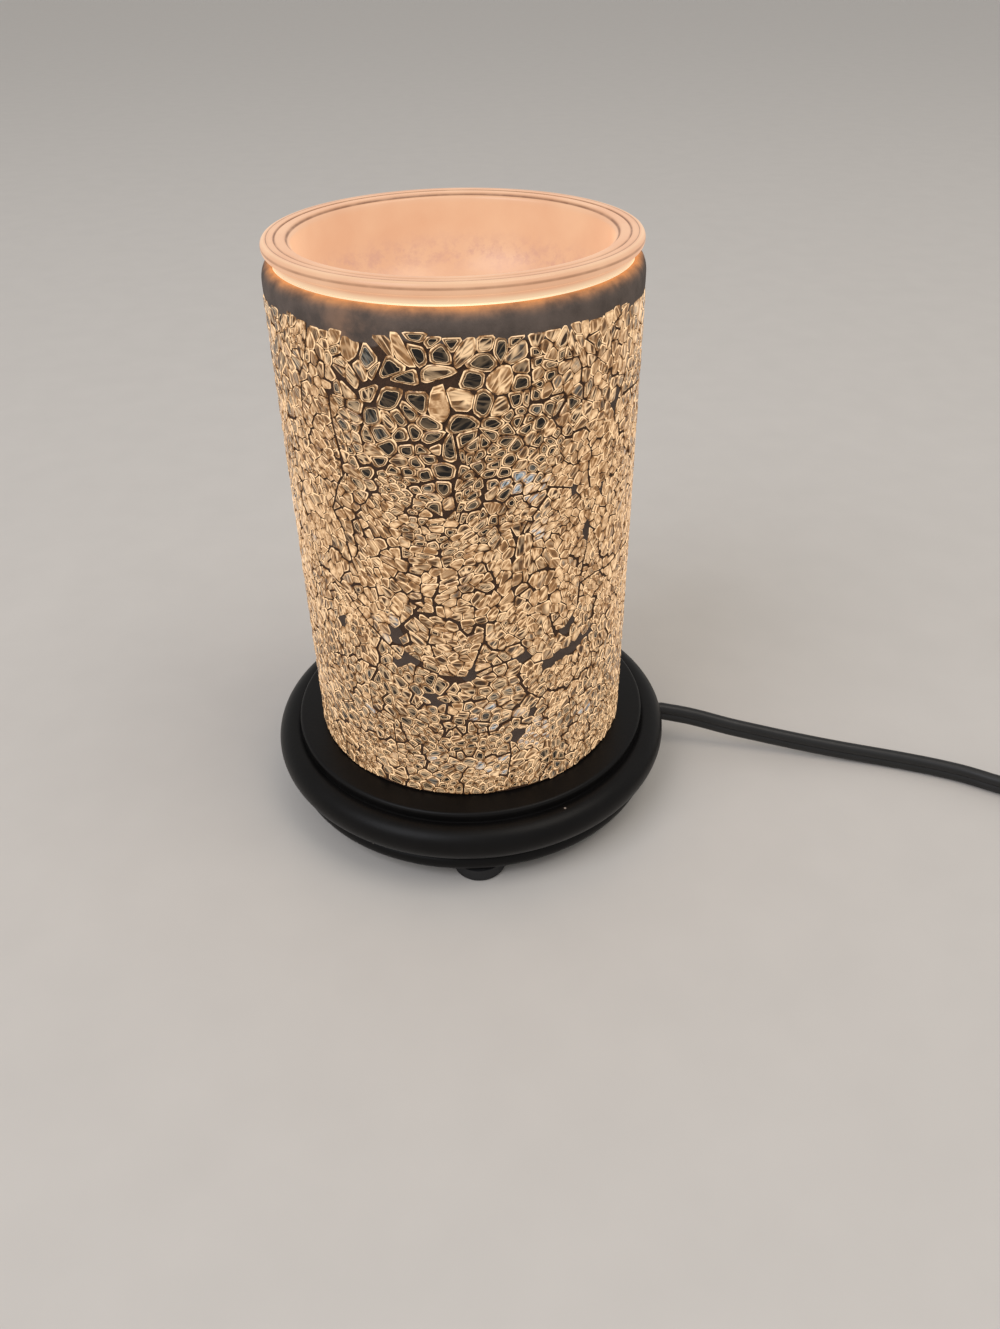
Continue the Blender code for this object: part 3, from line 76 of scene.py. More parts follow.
for startup_thing in list(bpy.data.objects):
    bpy.data.objects.remove(startup_thing, do_unlink=True)
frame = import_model()

# One millimetre in the frame's metres
MM = 0.001

# Sockets of a Mix node of colours: the one below and the one laid over it
UNDER = 6
OVER = 7

# A shade that gives no light
BLACK = (0.0, 0.0, 0.0)

# The camera, as the photograph was taken: place in millimetres, tilt and roll in degrees
CAMERA_PLACE = (9.29, -255.26, 221.276)
CAMERA_TILT = 53.915
CAMERA_ROLL = -0.943
CAMERA_LENS = 27.863
CAMERA_SENSOR = 36.0

# Where the lights point, in metres, and half a side of the floor, in millimetres
LIGHTS_AIM = (0.0, 0.0, 0.05)
FLOOR_HALF = 20000.0

# Steps round the turned pieces and the grout coat
FINE_TURN = 256
SMALL_TURN = 64
COAT_STEPS = 720

# Shade: the glass wall with its soft edges, the grout coat on it and the glass fragments in the grout
GLASS_INNER = 40.9
GLASS_OUTER = 42.7
GLASS_SOFT = 0.4
SHADE_BOTTOM = 20.3
SHADE_TOP = 157.0
COAT_INNER = 43.0
COAT_FOOT = 23.8
BED_RADIUS = 45.2
BAND_RADIUS = 45.55
BAND_HEIGHT = 6.8
BAND_SHOULDER = 3.8
FRAGMENT_INNER = 44.9
FRAGMENT_OUTER = 45.8
GIRTH = 2 * np.pi * FRAGMENT_OUTER

# Where the band was wiped thin, as (how much painted lamp light comes through, turn in degrees, half turn)
WIPED_PLACES = ((0.20, 241, 12), (0.16, 75, 14))

# Bare patches in the mosaic, as ((turn in degrees, height), (turn, height), half width)
BARE_PATCHES = (
    ((-133.4, 73.2), (-132.7, 75.2), 0.9),
    ((-112.0, 76.4), (-111.4, 75.2), 0.8),
    ((-107.0, 69.2), (-110.6, 67.4), 1.1),
    ((-102.6, 57.9), (-98.4, 56.0), 0.9),
    ((-87.3, 66.8), (-88.3, 65.0), 0.6),
    ((-72.0, 68.6), (-69.8, 69.4), 0.6),
    ((-54.6, 73.6), (-52.4, 75.6), 0.7),
    ((-73.4, 42.4), (-70.8, 44.2), 1.0),
    ((-67.6, 49.6), (-66.4, 51.0), 0.6),
    ((-35.6, 127.4), (-35.0, 131.0), 0.6),
    ((-41.0, 108.6), (-40.3, 110.2), 0.6),
    ((-53.0, 111.4), (-52.6, 112.6), 0.7),
    ((-46.8, 97.4), (-46.4, 101.2), 0.6),
    ((-62.0, 64.0), (-55.0, 66.2), 1.1),
    ((-55.0, 66.2), (-43.0, 68.4), 0.65),
    ((36.0, 92.0), (39.5, 90.0), 0.9),
    ((71.0, 60.0), (80.0, 64.5), 0.8),
    ((118.0, 118.0), (120.5, 115.5), 0.9),
    ((163.0, 78.0), (160.0, 74.0), 1.0),
    ((12.0, 46.0), (15.0, 45.0), 0.8),
)

# Grout of a bare patch: its margin under the glass round it, the radii of its foot and its face, the
# longest length laid at a time, the points round one, and how grey it is
PATCH_MARGIN = 1.4
PATCH_FOOT = 44.7
PATCH_FACE = 45.34
PATCH_LENGTH = 3
PATCH_ROUND = 24
PATCH_GREY = 0.5

# Long dark cracks where whole sheets of glass parted, as (line of (turn, height), half width)
LONG_CRACKS = (
    (((-124.4, 142.4), (-118.5, 138.8), (-111.3, 141.4), (-98.7, 140.5), (-87.9, 143.4)), 0.60),
    (((-111.3, 141.4), (-107.4, 147.4), (-110.8, 150.2)), 0.30),
    (((-89.6, 129.3), (-88.6, 124.0), (-90.8, 117.0), (-90.0, 112.7), (-92.7, 110.4), (-96.9, 109.9)), 0.32),
    (((-127.5, 137.1), (-127.2, 129.3), (-125.3, 122.1), (-125.4, 117.1), (-127.8, 114.3)), 0.34),
    (((-127.8, 114.3), (-131.4, 107.1), (-127.8, 102.7), (-125.8, 95.4), (-124.0, 91.6)), 0.34),
    (((-133.5, 149.5), (-135.8, 143.8), (-139.5, 138.5), (-140.5, 130.0), (-139.0, 122.0)), 0.26),
    (((-159.5, 137.5), (-155.5, 132.5), (-152.0, 126.0), (-146.3, 118.2)), 0.36),
    (((-154.0, 100.8), (-148.5, 98.5), (-145.0, 93.0), (-142.5, 88.0), (-138.6, 88.0)), 0.40),
    (((-138.6, 88.0), (-131.0, 85.5), (-121.2, 77.0), (-109.3, 68.8), (-97.0, 64.9), (-86.4, 64.3)), 0.27),
    (((-96.2, 94.3), (-96.9, 90.4), (-98.3, 88.0), (-97.9, 83.4), (-103.8, 83.6), (-110.8, 77.7)), 0.38),
    (((-82.7, 80.4), (-83.0, 76.0), (-84.9, 72.0), (-88.0, 65.0), (-81.6, 67.1), (-74.0, 68.6)), 0.32),
    (((-89.0, 63.2), (-94.0, 62.1), (-97.5, 58.5)), 0.26),
    (((-60.9, 78.8), (-59.4, 73.8), (-55.0, 73.6), (-49.8, 79.3), (-49.2, 85.4)), 0.32),
    (((-49.2, 85.4), (-42.0, 86.0), (-35.7, 85.2), (-24.6, 86.0), (-15.0, 84.9)), 0.32),
    (((-43.3, 107.1), (-46.1, 102.7), (-46.8, 95.4), (-48.9, 87.1)), 0.32),
    (((-26.5, 150.0), (-25.5, 141.5), (-29.0, 135.5), (-34.0, 130.0), (-25.3, 129.9), (-14.8, 128.8)), 0.36),
    (((-68.8, 149.0), (-68.0, 141.0), (-68.6, 135.0), (-70.8, 131.5)), 0.26),
    (((-70.0, 114.0), (-61.0, 114.6), (-54.5, 113.0)), 0.24),
    (((-74.0, 105.6), (-72.6, 101.6), (-74.0, 96.8)), 0.22),
    (((-90.0, 50.4), (-83.0, 49.3), (-82.3, 44.9)), 0.28),
    (((-75.3, 41.5), (-74.8, 37.1), (-76.0, 30.4)), 0.26),
    (((-124.0, 57.0), (-123.6, 49.5), (-115.5, 47.0), (-115.0, 38.0), (-114.6, 31.0)), 0.22),
    (((-48.8, 63.5), (-48.6, 58.0), (-53.0, 53.5), (-51.5, 46.0)), 0.22),
    (((-2.0, 140.0), (4.0, 121.0), (-1.0, 104.0)), 0.26),
    (((30.0, 139.0), (52.0, 131.0), (60.0, 112.0), (84.0, 108.0)), 0.30),
    (((98.0, 88.0), (112.0, 70.0), (139.0, 66.0)), 0.28),
    (((150.0, 136.0), (158.0, 112.0), (181.0, 101.0)), 0.30),
    (((20.0, 82.0), (31.0, 66.0), (24.0, 49.0)), 0.26),
)

# Where the glass is painted darkest, with the dark inside seen through it: (turn in degrees, height, depth)
CLEAR_WINDOWS = ((-90.0, 130.0, 1.0), (4.0, 127.0, 0.6), (95.0, 132.0, 0.65), (184.0, 128.0, 0.6))
WINDOW_HALF_TURN = 33.0
WINDOW_HALF_HEIGHT = 29.0

# The turn of the mosaic's front, in degrees
FRONT_TURN = -93.0

# Where many faces paint the room's reflection, as (turn in degrees, height, half turn, half height, strength)
MIRRORING = (
    (-68.0, 112.0, 11.0, 19.0, 0.17),
    (-84.0, 118.0, 16.0, 14.0, 0.08),
    (-100.0, 44.0, 17.0, 15.0, 0.16),
    (-68.0, 48.0, 18.0, 18.0, 0.16),
    (-88.0, 86.0, 20.0, 20.0, 0.12),
    (40.0, 104.0, 20.0, 20.0, 0.12),
    (150.0, 60.0, 24.0, 18.0, 0.12),
)

# Grids of sheets and fragments: how far chance shakes a middle, in shares of a step, a hexagon's length
# over its width, and how many steps a sheet's own grid reaches each way
SHEET_SHAKE = 0.4
SEED_SHAKE = 0.33
HEXAGON = 1.15
SEED_REACH = 11

# Least room of a fragment's middle from the mosaic's edges, beside a long crack, and from any edge that
# cuts it, and how far one beside a long crack steps back from it, in millimetres
EDGE_ROOM = 0.75
CRACK_ROOM = 0.4
LEAST_ROOM = 0.25
STEP_BACK = 0.5

# Neighbours that may cut a fragment, its most corners, and a limit that cuts none
NEIGHBOURS = 31
MOST_CORNERS = 12
NO_LIMIT = 50.0

# How far a fragment's edge drops at its bevel, and a cell of the fine cracks, along and across
BEVEL_DROP = 0.2
SLIVER = (5.0, 1.15)

# More sheets than the shade has, and the pairs of points that are compared at a time
MOST_SHEETS = 4000
MOST_PAIRS = 4000000

# Cord: the two insulated cores side by side, one above the other
CORE_RADIUS = 1.8
CORE_RISE = 1.2
CORD_EXIT_TURN = np.radians(5.0)
CORD_EXIT_HEIGHT = 11.7
BUSH_START = 46.9
BUSH_END = 58.4

# The lead's way from inside the base to the switch, in millimetres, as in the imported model
LEAD_INSIDE = (41.0, 49.5, 58.4, 61.4)
LEAD_ROUTE = (
    (64.0, 5.0, 11.3),
    (70.0, 4.2, 10.4),
    (76.0, 3.0, 9.3),
    (83.0, 1.5, 7.9),
    (93.0, -0.4, 6.3),
    (102.0, -2.3, 5.1),
    (111.0, -4.4, 4.2),
    (120.0, -6.5, 3.5),
    (130.0, -9.1, 3.1),
    (138.0, -11.6, 3.0),
    (146.0, -14.5, 3.0),
    (154.0, -18.0, 3.0),
    (162.0, -22.6, 3.0),
    (170.0, -26.6, 3.3),
    (178.0, -29.3, 4.4),
    (184.5, -30.7, 5.6),
    (189.8, -31.0, 6.0),
)

# Switch, coil and plug, in millimetres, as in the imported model
SWITCH_CENTRE = (215.1, -31.0, 6.0)
SWITCH_HALF_LENGTH = 25.0
SWITCH_HALF_WIDTH = 9.0
SWITCH_WALL = 1.6
COLLAR_HALF_WIDTH = 2.9
COLLAR_HALF_HEIGHT = 3.9
SWITCH_SCREW_X = 12.8
ROLLER_OFFSET = -3.7
ROLLER_RADIUS = 7.5
ROLLER_NOTCHES = 18
COIL_CENTRE = (272.1, 11.9375)
COIL_OUTER = 42.9375
COIL_PITCH = 6.5
COIL_TURNS = 2.75
COIL_LOW = 3.8
COIL_HIGH = 10.3
COIL_ENTRY = 265.8
PLUG_END = 244.1
PLUG_LINE = 54.875
PLUG_MIDDLE = 6.5
PLUG_LENGTH = 23.0
BLADE_OFFSET = 6.35
TIE_TURN = np.radians(20.0)

# How far the cord reaches into the switch and the plug
CORD_GRIP = 2.0


def linear(code):
    """The linear values of an sRGB colour written as six hex digits after a hash."""
    value = np.array([int(code[i : i + 2], 16) for i in (1, 3, 5)]) / 255
    return tuple(np.where(value <= 0.04045, value / 12.92, ((value + 0.055) / 1.055) ** 2.4))


def colour(name, description, code):
    return FloatVectorProperty(
        name=name, description=description, subtype="COLOR", size=3, min=0, max=1, default=linear(code)
    )


def length(name, description, default):
    return FloatProperty(name=name, description=description, default=default * MM, unit="LENGTH")


class WarmerSizes(PropertyGroup):
    """Sizes of the mosaic that someone who restyles the warmer would change."""

    sheet: length("Sheet pitch", "Distance between the sheets that each broke into fragments", 8.0)
    fragment: length("Fragment width", "Narrow way across a usual fragment", 2.12)
    clear_fragment: length("Clear fragment width", "Narrow way across a fragment of a clear window", 2.7)
    hairline: length("Hairline", "Half the width of a crack inside a sheet", 0.085)
    joint: length("Joint", "Half the width of a wide grout joint between sheets", 0.25)
    bevel: length("Bevel", "Width of the bright broken edge round a fragment that is 1.7 mm wide", 0.25)


class WarmerColours(PropertyGroup):
    """Colours of the finishes, in linear values: many stand for painted lamp light, shade and reflection."""

    # Painted lamp light and shade in the mosaic: broken edges, lit faces and shaded faces
    crack: colour("Crack light", "Lamp light in the broken edges of the glass", "#FFD7A7")
    lit_glass: colour("Lit glass", "Face of a fragment with the lamp's light in it", "#936941")
    shade: colour("Shaded glass", "Face of a fragment that gets little of the lamp's light", "#3E2A1A")
    # Painted shade: the dark inside seen through clear glass
    clear: colour("Clear glass", "Face of a fragment that one sees the dark inside through", "#0E0A08")
    # Painted reflections: of the grey room, and of a window
    room_reflection: colour("Smoky glass", "Face of a fragment that mirrors the room", "#63645F")
    glint: colour("Glint", "Face of a fragment that mirrors a window", "#A9BAC6")
    # The grout's own brown, with a painted glow of the lamp on it
    joint: colour("Joint", "Grout between the fragments, warmed by the lamp", "#412C1E")
    grout: colour("Grout", "Grout of the band and the bare patches", "#655952")
    # Painted lamp light coming through the grout's edge
    ember: colour("Lit grout", "Edge of the grout where the lamp's light comes through it", "#C98A54")
    # Painted lamp light: the dish's glow and the brighter glow at its neck
    dish: colour("Dish", "Frosted dish with the lamp under it", "#F0BC96")
    neck: colour("Dish neck", "The thin neck of the dish, where the lamp's light is strongest", "#FFE0B8")
    # Dirt and painted shade in the dish's grooves
    ring: colour("Dish ring", "Grooves of the dish's rim", "#86573B")
    residue: colour("Residue", "Dried film of wax in the dish", "#DBA68E")
    paint: colour("Paint", "Satin black paint of the base", "#0C0B0B")
    speck: colour("Speck", "Dust specks and small chips in the paint", "#8C8078")
    vinyl: colour("Vinyl", "Black vinyl of the cord, the switch and the plug", "#131314")
    floor: colour("Floor", "Plain floor that the warmer stands on", "#CFCBC6")


def sizes():
    return bpy.context.scene.warmer_sizes


def colours():
    return bpy.context.scene.warmer_colours


def bell(value, middle, width):
    """1 at the middle and 1 / e at the width to each side: e to the power of minus the square."""
    return np.exp(-(((value - middle) / width) ** 2))


def ramp(value, start, end):
    """0 up to the start and 1 from the end on, straight between, whichever of them is higher."""
    return np.clip((value - start) / (end - start), 0, 1)


def waves(place, pitch, count):
    """A count of waves from 0 up to 1 and back, one a pitch, from place 0 on, and 0 elsewhere."""
    return (0.5 - 0.5 * np.cos(2 * np.pi * place / pitch)) * (place > 0) * (place < count * pitch)


# Meshes


def fill_mesh(name, points, *groups):
    """A mesh from points in millimetres and groups of faces.

    A group is an array with a row of corner numbers for each face, or, for faces of unlike sizes,
    a pair of arrays: all the corner numbers in a row, and where each face starts among them.
    """
    corners, starts, used = [], [], 0
    for group in groups:
        if isinstance(group, tuple):
            flat, first = group
        else:
            flat, first = group.ravel(), np.arange(len(group)) * group.shape[1]
        corners.append(flat)
        starts.append(first + used)
        used += len(flat)
    starts = np.concatenate(starts)
    mesh = bpy.data.meshes.new(name)
    mesh.vertices.add(len(points))
    mesh.vertices.foreach_set("co", (np.asarray(points) * MM).astype(np.float32).ravel())
    mesh.loops.add(used)
    mesh.loops.foreach_set("vertex_index", np.concatenate(corners).astype(np.int32))
    mesh.polygons.add(len(starts))
    mesh.polygons.foreach_set("loop_start", starts.astype(np.int32))
    mesh.update(calc_edges=True)
    return mesh


def tidy_mesh(mesh, smooth_deg=None):
    """Closes poles, turns the faces outwards, and shades smooth up to an angle between faces."""
    work = bmesh.new()
    work.from_mesh(mesh)
    bmesh.ops.remove_doubles(work, verts=work.verts, dist=1e-6)
    bmesh.ops.recalc_face_normals(work, faces=work.faces)
    work.to_mesh(mesh)
    work.free()
    if smooth_deg is not None:
        mesh.shade_smooth()
        mesh.set_sharp_from_angle(angle=np.radians(smooth_deg))
    return mesh


def linked(name, data):
    """A new object of the scene, for a mesh, a camera or a light."""
    made = bpy.data.objects.new(name, data)
    bpy.context.scene.collection.objects.link(made)
    return made


def piece(mesh, body, finish, replaced=()):
    """Puts a mesh in the scene as a piece that rides on a body and stands for CAD nodes."""
    made = linked(mesh.name, mesh)
    mesh.materials.append(finish)
    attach(made, body)
    if replaced:
        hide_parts(*replaced)
    return made


def ring_faces(rings, steps, closed_across=True):
    """Quads of a grid of rings by steps that is closed round the steps, and across the rings too."""
    row = np.arange(rings if closed_across else rings - 1)[:, None]
    step = np.arange(steps)[None, :]
    after, beside = (row + 1) % rings, (step + 1) % steps
    quads = [row * steps + step, row * steps + beside, after * steps + beside, after * steps + step]
    return np.stack(quads, axis=-1).reshape(-1, 4)


def tube_faces(rings, steps):
    """Faces of a tube of rings by steps that is closed at both ends: its wall and its two caps."""
    caps = np.stack([np.arange(steps)[::-1], np.arange(steps) + (rings - 1) * steps])
    return ring_faces(rings, steps, False), caps


def turned(name, profile, steps=FINE_TURN, smooth_deg=32):
    """A closed profile of (radius, height) turned round Z: (r cos a, r sin a, z) for each turn a."""
    profile = np.asarray(profile, float)
    a = np.arange(steps) * 2 * np.pi / steps
    radius, height = profile[:, :1], np.repeat(profile[:, 1:], steps, axis=1)
    points = np.stack([radius * np.cos(a), radius * np.sin(a), height], axis=-1).reshape(-1, 3)
    return tidy_mesh(fill_mesh(name, points, ring_faces(len(profile), steps)), smooth_deg)


def lofted(name, along, half_width, half_height, power, steps=64):
    """A solid along X, closed at both ends: |y / w|^p + |z / h|^p = 1 at each place along it."""
    a = np.arange(steps) * 2 * np.pi / steps
    across = np.sign(np.cos(a)) * np.abs(np.cos(a)) ** (2 / power)
    up = np.sign(np.sin(a)) * np.abs(np.sin(a)) ** (2 / power)
    rows = [np.stack([x + 0 * a, w * across, h * up], 1) for x, w, h in zip(along, half_width, half_height)]
    return tidy_mesh(fill_mesh(name, np.concatenate(rows), *tube_faces(len(rows), steps)))


def block(name, low, high):
    """A cutter with its sides square to the axes, from one corner to the opposite one."""
    corners = [(i, j, k) for k in (0, 1) for i, j in ((0, 0), (1, 0), (1, 1), (0, 1))]
    points = np.array([low, high], float)[np.array(corners), np.arange(3)]
    sides = [(0, 1, 5, 4), (1, 2, 6, 5), (2, 3, 7, 6), (3, 0, 4, 7), (3, 2, 1, 0), (4, 5, 6, 7)]
    return fill_mesh(name, points, np.array(sides))


def rod(name, radius, low, high, at=(0.0, 0.0)):
    """An upright round bar, between two heights, that cuts or joins another mesh."""
    return shifted(turned(name, [(0, low), (radius, low), (radius, high), (0, high)], SMALL_TURN), (*at, 0.0))


def shifted(mesh, way):
    mesh.transform(Matrix.Translation([v * MM for v in way]))
    return mesh


def carved(mesh, steps, smooth_deg=32):
    """The mesh after some Booleans, each a pair of a mesh and an operation. It uses all the meshes up."""
    name, mesh.name = mesh.name, mesh.name + "_uncut"
    holder = linked("uncut", mesh)
    helpers = [linked("step", tool) for tool, operation in steps]
    for helper, (tool, operation) in zip(helpers, steps):
        step = holder.modifiers.new(tool.name, "BOOLEAN")
        step.object, step.operation, step.solver = helper, operation, "EXACT"
    made = bpy.data.meshes.new_from_object(holder.evaluated_get(bpy.context.evaluated_depsgraph_get()))
    for thing in [holder, *helpers]:
        used = thing.data
        bpy.data.objects.remove(thing, do_unlink=True)
        bpy.data.meshes.remove(used)
    if not made.polygons:
        raise RuntimeError(name + ": its Booleans left nothing of it")
    made.name = name
    made.materials.clear()
    made.shade_smooth()
    made.set_sharp_from_angle(angle=np.radians(smooth_deg))
    return made


def arc(centre, radius, start, end, count):
    """Points on a circle or, with a pair of radii, an ellipse, from one angle in degrees to another."""
    a = np.radians(np.linspace(start, end, count))
    across, up = np.broadcast_to(radius, 2)
    return [(centre[0] + across * x, centre[1] + up * y) for x, y in zip(np.cos(a), np.sin(a))]


def rounded_oblong(inner, outer, low, high, bend, count):
    """An upright oblong's outline with round corners, each a quarter circle, from the lower outer one on."""
    line = []
    for x, z, start in (
        (outer - bend, low + bend, -90),
        (outer - bend, high - bend, 0),
        (inner + bend, high - bend, 90),
        (inner + bend, low + bend, 180),
    ):
        line += arc((x, z), bend, start, start + 90, count)
    return line


def points_of(mesh):
    """The mesh's points in millimetres, one a row."""
    points = np.empty(3 * len(mesh.vertices), np.float32)
    mesh.vertices.foreach_get("co", points)
    return points.reshape(-1, 3) / MM


def attribute(mesh, name, values):
    """Stores one colour a point, for a material to read by its name."""
    layer = mesh.attributes.new(name, "FLOAT_COLOR", "POINT")
    rows = np.ones((len(values), 4), np.float32)
    rows[:, : values.shape[1]] = values
    layer.data.foreach_set("color", rows.ravel())


# Materials


def fresh(name):
    """A new material, its node tree, its shader, and the object coordinates that its patterns lie in."""
    made = bpy.data.materials.new(name)
    made.use_nodes = True
    tree = made.node_tree
    return made, tree, tree.nodes["Principled BSDF"], add(tree, "TexCoord", {}).outputs["Object"]


def wire(tree, node, sockets):
    """Sets a node's sockets, each to a value, an output or a node, which stands for its first output."""
    for key, value in sockets.items():
        if isinstance(value, bpy.types.Node):
            value = next(output for output in value.outputs if output.enabled)
        if isinstance(value, bpy.types.NodeSocket):
            tree.links.new(value, node.inputs[key])
        elif node.inputs[key].type == "RGBA":
            node.inputs[key].default_value = (*value, 1.0)
        else:
            node.inputs[key].default_value = value
    return node


def add(tree, kind, sockets, stops=(), **settings):
    """Adds a node with its settings, its sockets and the stops of its colour ramp."""
    made = tree.nodes.new("ShaderNode" + kind)
    for name, value in settings.items():
        setattr(made, name, value)
    if stops:
        elements = made.color_ramp.elements
        elements.remove(elements[1])
        for i, (place, shade) in enumerate(stops):
            stop = elements[0] if i == 0 else elements.new(place)
            stop.position = place
            stop.color = (*shade, 1.0)
    return wire(tree, made, sockets)


def every(size):
    """The scale of a pattern on object coordinates that repeats at a size in millimetres."""
    return 1 / (size * MM)


def grained(name, shade, rough, grain, relief, metallic=0.0, mottle=0.25, **sockets):
    """A finish whose grain, at a size in millimetres, varies its roughness, colour and surface a little."""
    made, tree, shader, place = fresh(name)
    fine = add(tree, "TexNoise", {"Vector": place, "Scale": every(grain), "Detail": 4.0, "Roughness": 0.6})
    broad = add(tree, "TexNoise", {"Vector": place, "Scale": every(grain * 14), "Detail": 3.0})
    dark, bright = (tuple(np.clip(np.array(shade) * (1 + much), 0, 1)) for much in (-mottle, mottle))
    tone = add(tree, "ValToRGB", {"Fac": broad}, stops=[(0.3, dark), (0.7, bright)])
    sheen = add(tree, "MapRange", {"Value": fine, "To Min": rough[0], "To Max": rough[1]})
    bump = add(tree, "Bump", {"Height": fine, "Distance": relief * MM, "Strength": 1.0})
    wire(tree, shader, {"Base Color": tone, "Roughness": sheen, "Normal": bump})
    wire(tree, shader, {"Metallic": metallic, **sockets})
    return made


def glow(tree, shader, shade, share, strength):
    """Paints a shade as lamp light that the surface gives off, and a share of it as colour under the room's
    light.
    """
    rest = add(tree, "Mix", {"Factor": share, UNDER: BLACK, OVER: shade}, data_type="RGBA")
    wire(tree, shader, {"Base Color": rest, "Emission Color": shade, "Emission Strength": strength})


def crackled_glass():
    """Tempered glass, broken in its sheets and bedded in grout: a painted glow of lamp light, brightest at
    broken edges.

    "cell" holds how deep a place lies on its chip, how light the chip is and how much it mirrors.
    "grain" holds places along and across the sheet's own way, in cells of its fine cracks.
    """
    made, tree, shader, place = fresh("tempered_glass_crackled_lamp_glow")
    shades = colours()
    cell = add(tree, "SeparateColor", {"Color": add(tree, "Attribute", {}, attribute_name="cell")})
    depth, light, mirroring = (cell.outputs[channel] for channel in ("Red", "Green", "Blue"))
    grain = add(tree, "Attribute", {}, attribute_name="grain").outputs["Vector"]
    # Faces are painted from the dark seen through clear glass to glass full of lamp light, unevenly
    ripple = add(tree, "TexNoise", {"Vector": place, "Scale": every(1.1), "Detail": 2.0})
    uneven = add(tree, "MapRange", {"Value": ripple, "To Min": -0.2, "To Max": 0.2})
    lightness = add(tree, "Math", {0: light, 1: uneven}, operation="ADD")
    face = add(tree, "ValToRGB", {"Fac": lightness}, stops=[
        (0.0, shades.clear),
        (0.25, shades.clear),
        (0.48, shades.shade),
        (0.80, shades.lit_glass),
        (1.0, shades.crack),
    ])
    # Painted reflections: some faces mirror the grey room, and a few mirror a window
    mirror = add(tree, "ValToRGB", {"Fac": mirroring}, stops=[(0.94, shades.room_reflection), (0.98, shades.glint)])
    grey = add(tree, "MapRange", {"Value": mirroring, "From Min": 0.68, "From Max": 0.9, "To Max": 0.85})
    streak = add(tree, "TexNoise", {"Vector": grain, "Scale": 1.9, "Detail": 2.0})
    patchy = add(tree, "MapRange", {"Value": streak, "From Min": 0.42, "From Max": 0.58, "To Min": 0.1})
    reflection_share = add(tree, "Math", {0: grey, 1: patchy}, operation="MULTIPLY")
    # In a chip that is full of light the edge and the fine cracks hardly show
    plain = add(tree, "MapRange", {
        "Value": light, "From Min": 0.82, "From Max": 0.9, "To Min": 1.0, "To Max": 0.4,
    })
    # The fine cracks are drawn bright in the painted lamp light of the crack colour
    # Fine cracks run along each sheet's own way, as edges of cells drawn out along it, and fade in places
    pattern = {"Vector": grain, "Scale": 1.0, "Randomness": 0.75}
    sliver = add(tree, "TexVoronoi", pattern, feature="DISTANCE_TO_EDGE")
    strong = add(tree, "TexNoise", {"Vector": grain, "Scale": 0.45, "Detail": 1.0})
    much = add(tree, "MapRange", {
        "Value": strong, "From Min": 0.38, "From Max": 0.6, "To Min": 0.2, "To Max": 0.85,
    })
    fading = add(tree, "MapRange", {"Value": light, "From Min": 0.1, "From Max": 0.45, "To Min": 0.12})
    some = add(tree, "Math", {0: much, 1: fading}, operation="MULTIPLY")
    seen = add(tree, "Math", {0: some, 1: plain}, operation="MULTIPLY")
    line = add(tree, "MapRange", {
        "Value": sliver, "From Min": 0.03, "From Max": 0.15, "To Min": 1.0, "To Max": 0.0,
    })
    drawn = add(tree, "Math", {0: line, 1: seen}, operation="MULTIPLY")
    # Between the fine cracks the glass is painted darker, in the shaded glass's colour
    off_crack_dark = add(tree, "MapRange", {"Value": sliver, "From Min": 0.15, "From Max": 0.3, "To Max": 0.65})
    off_crack_shade = add(tree, "Math", {0: off_crack_dark, 1: seen}, operation="MULTIPLY")
    # Painted light spreads from the edge into a face; a clear face shows its far edge as a second line
    spread = add(tree, "MapRange", {"Value": depth, "From Min": -0.35, "From Max": 0.0, "To Max": 0.5})
    wavy = add(tree, "TexNoise", {"Vector": place, "Scale": every(1.3), "Detail": 2.0})
    second = add(tree, "Math", {0: wavy, 1: 0.45, 2: depth}, operation="MULTIPLY_ADD")
    beside = add(tree, "Math", {0: second, 1: -0.08, 2: 0.055}, operation="COMPARE")
    glassy = add(tree, "Math", {0: light, 1: 0.42}, operation="LESS_THAN")
    doubled = add(tree, "Math", {0: beside, 1: glassy}, operation="MULTIPLY")
    shine = add(tree, "Math", {0: doubled, 1: 0.7}, operation="MULTIPLY")
    # The broken edge's painted light varies in brightness along it, and turns to grout colour at its foot
    flicker = add(tree, "TexNoise", {"Vector": place, "Scale": every(1.8), "Detail": 3.0})
    edge = add(tree, "ValToRGB", {"Fac": flicker}, stops=[
        (0.33, shades.shade), (0.42, shades.lit_glass), (0.56, shades.crack),
    ])
    bright = add(tree, "MapRange", {"Value": depth, "From Min": 0.1, "From Max": 0.55})
    edging = add(tree, "Math", {0: bright, 1: plain}, operation="MULTIPLY")
    sunk = add(tree, "MapRange", {"Value": depth, "From Min": 1.02, "From Max": 1.25})
    shown = face
    for share, over in (
        (reflection_share, mirror),
        (drawn, shades.crack),
        (off_crack_shade, shades.shade),
        (spread, shades.lit_glass),
        (shine, shades.crack),
        (edging, edge),
        (sunk, shades.joint),
    ):
        shown = add(tree, "Mix", {"Factor": share, UNDER: shown, OVER: over}, data_type="RGBA")
    glow(tree, shader, shown, 0.3, 1.0)
    wire(tree, shader, {"Roughness": 0.14, "IOR": 1.5, "Specular IOR Level": 0.3})
    return made


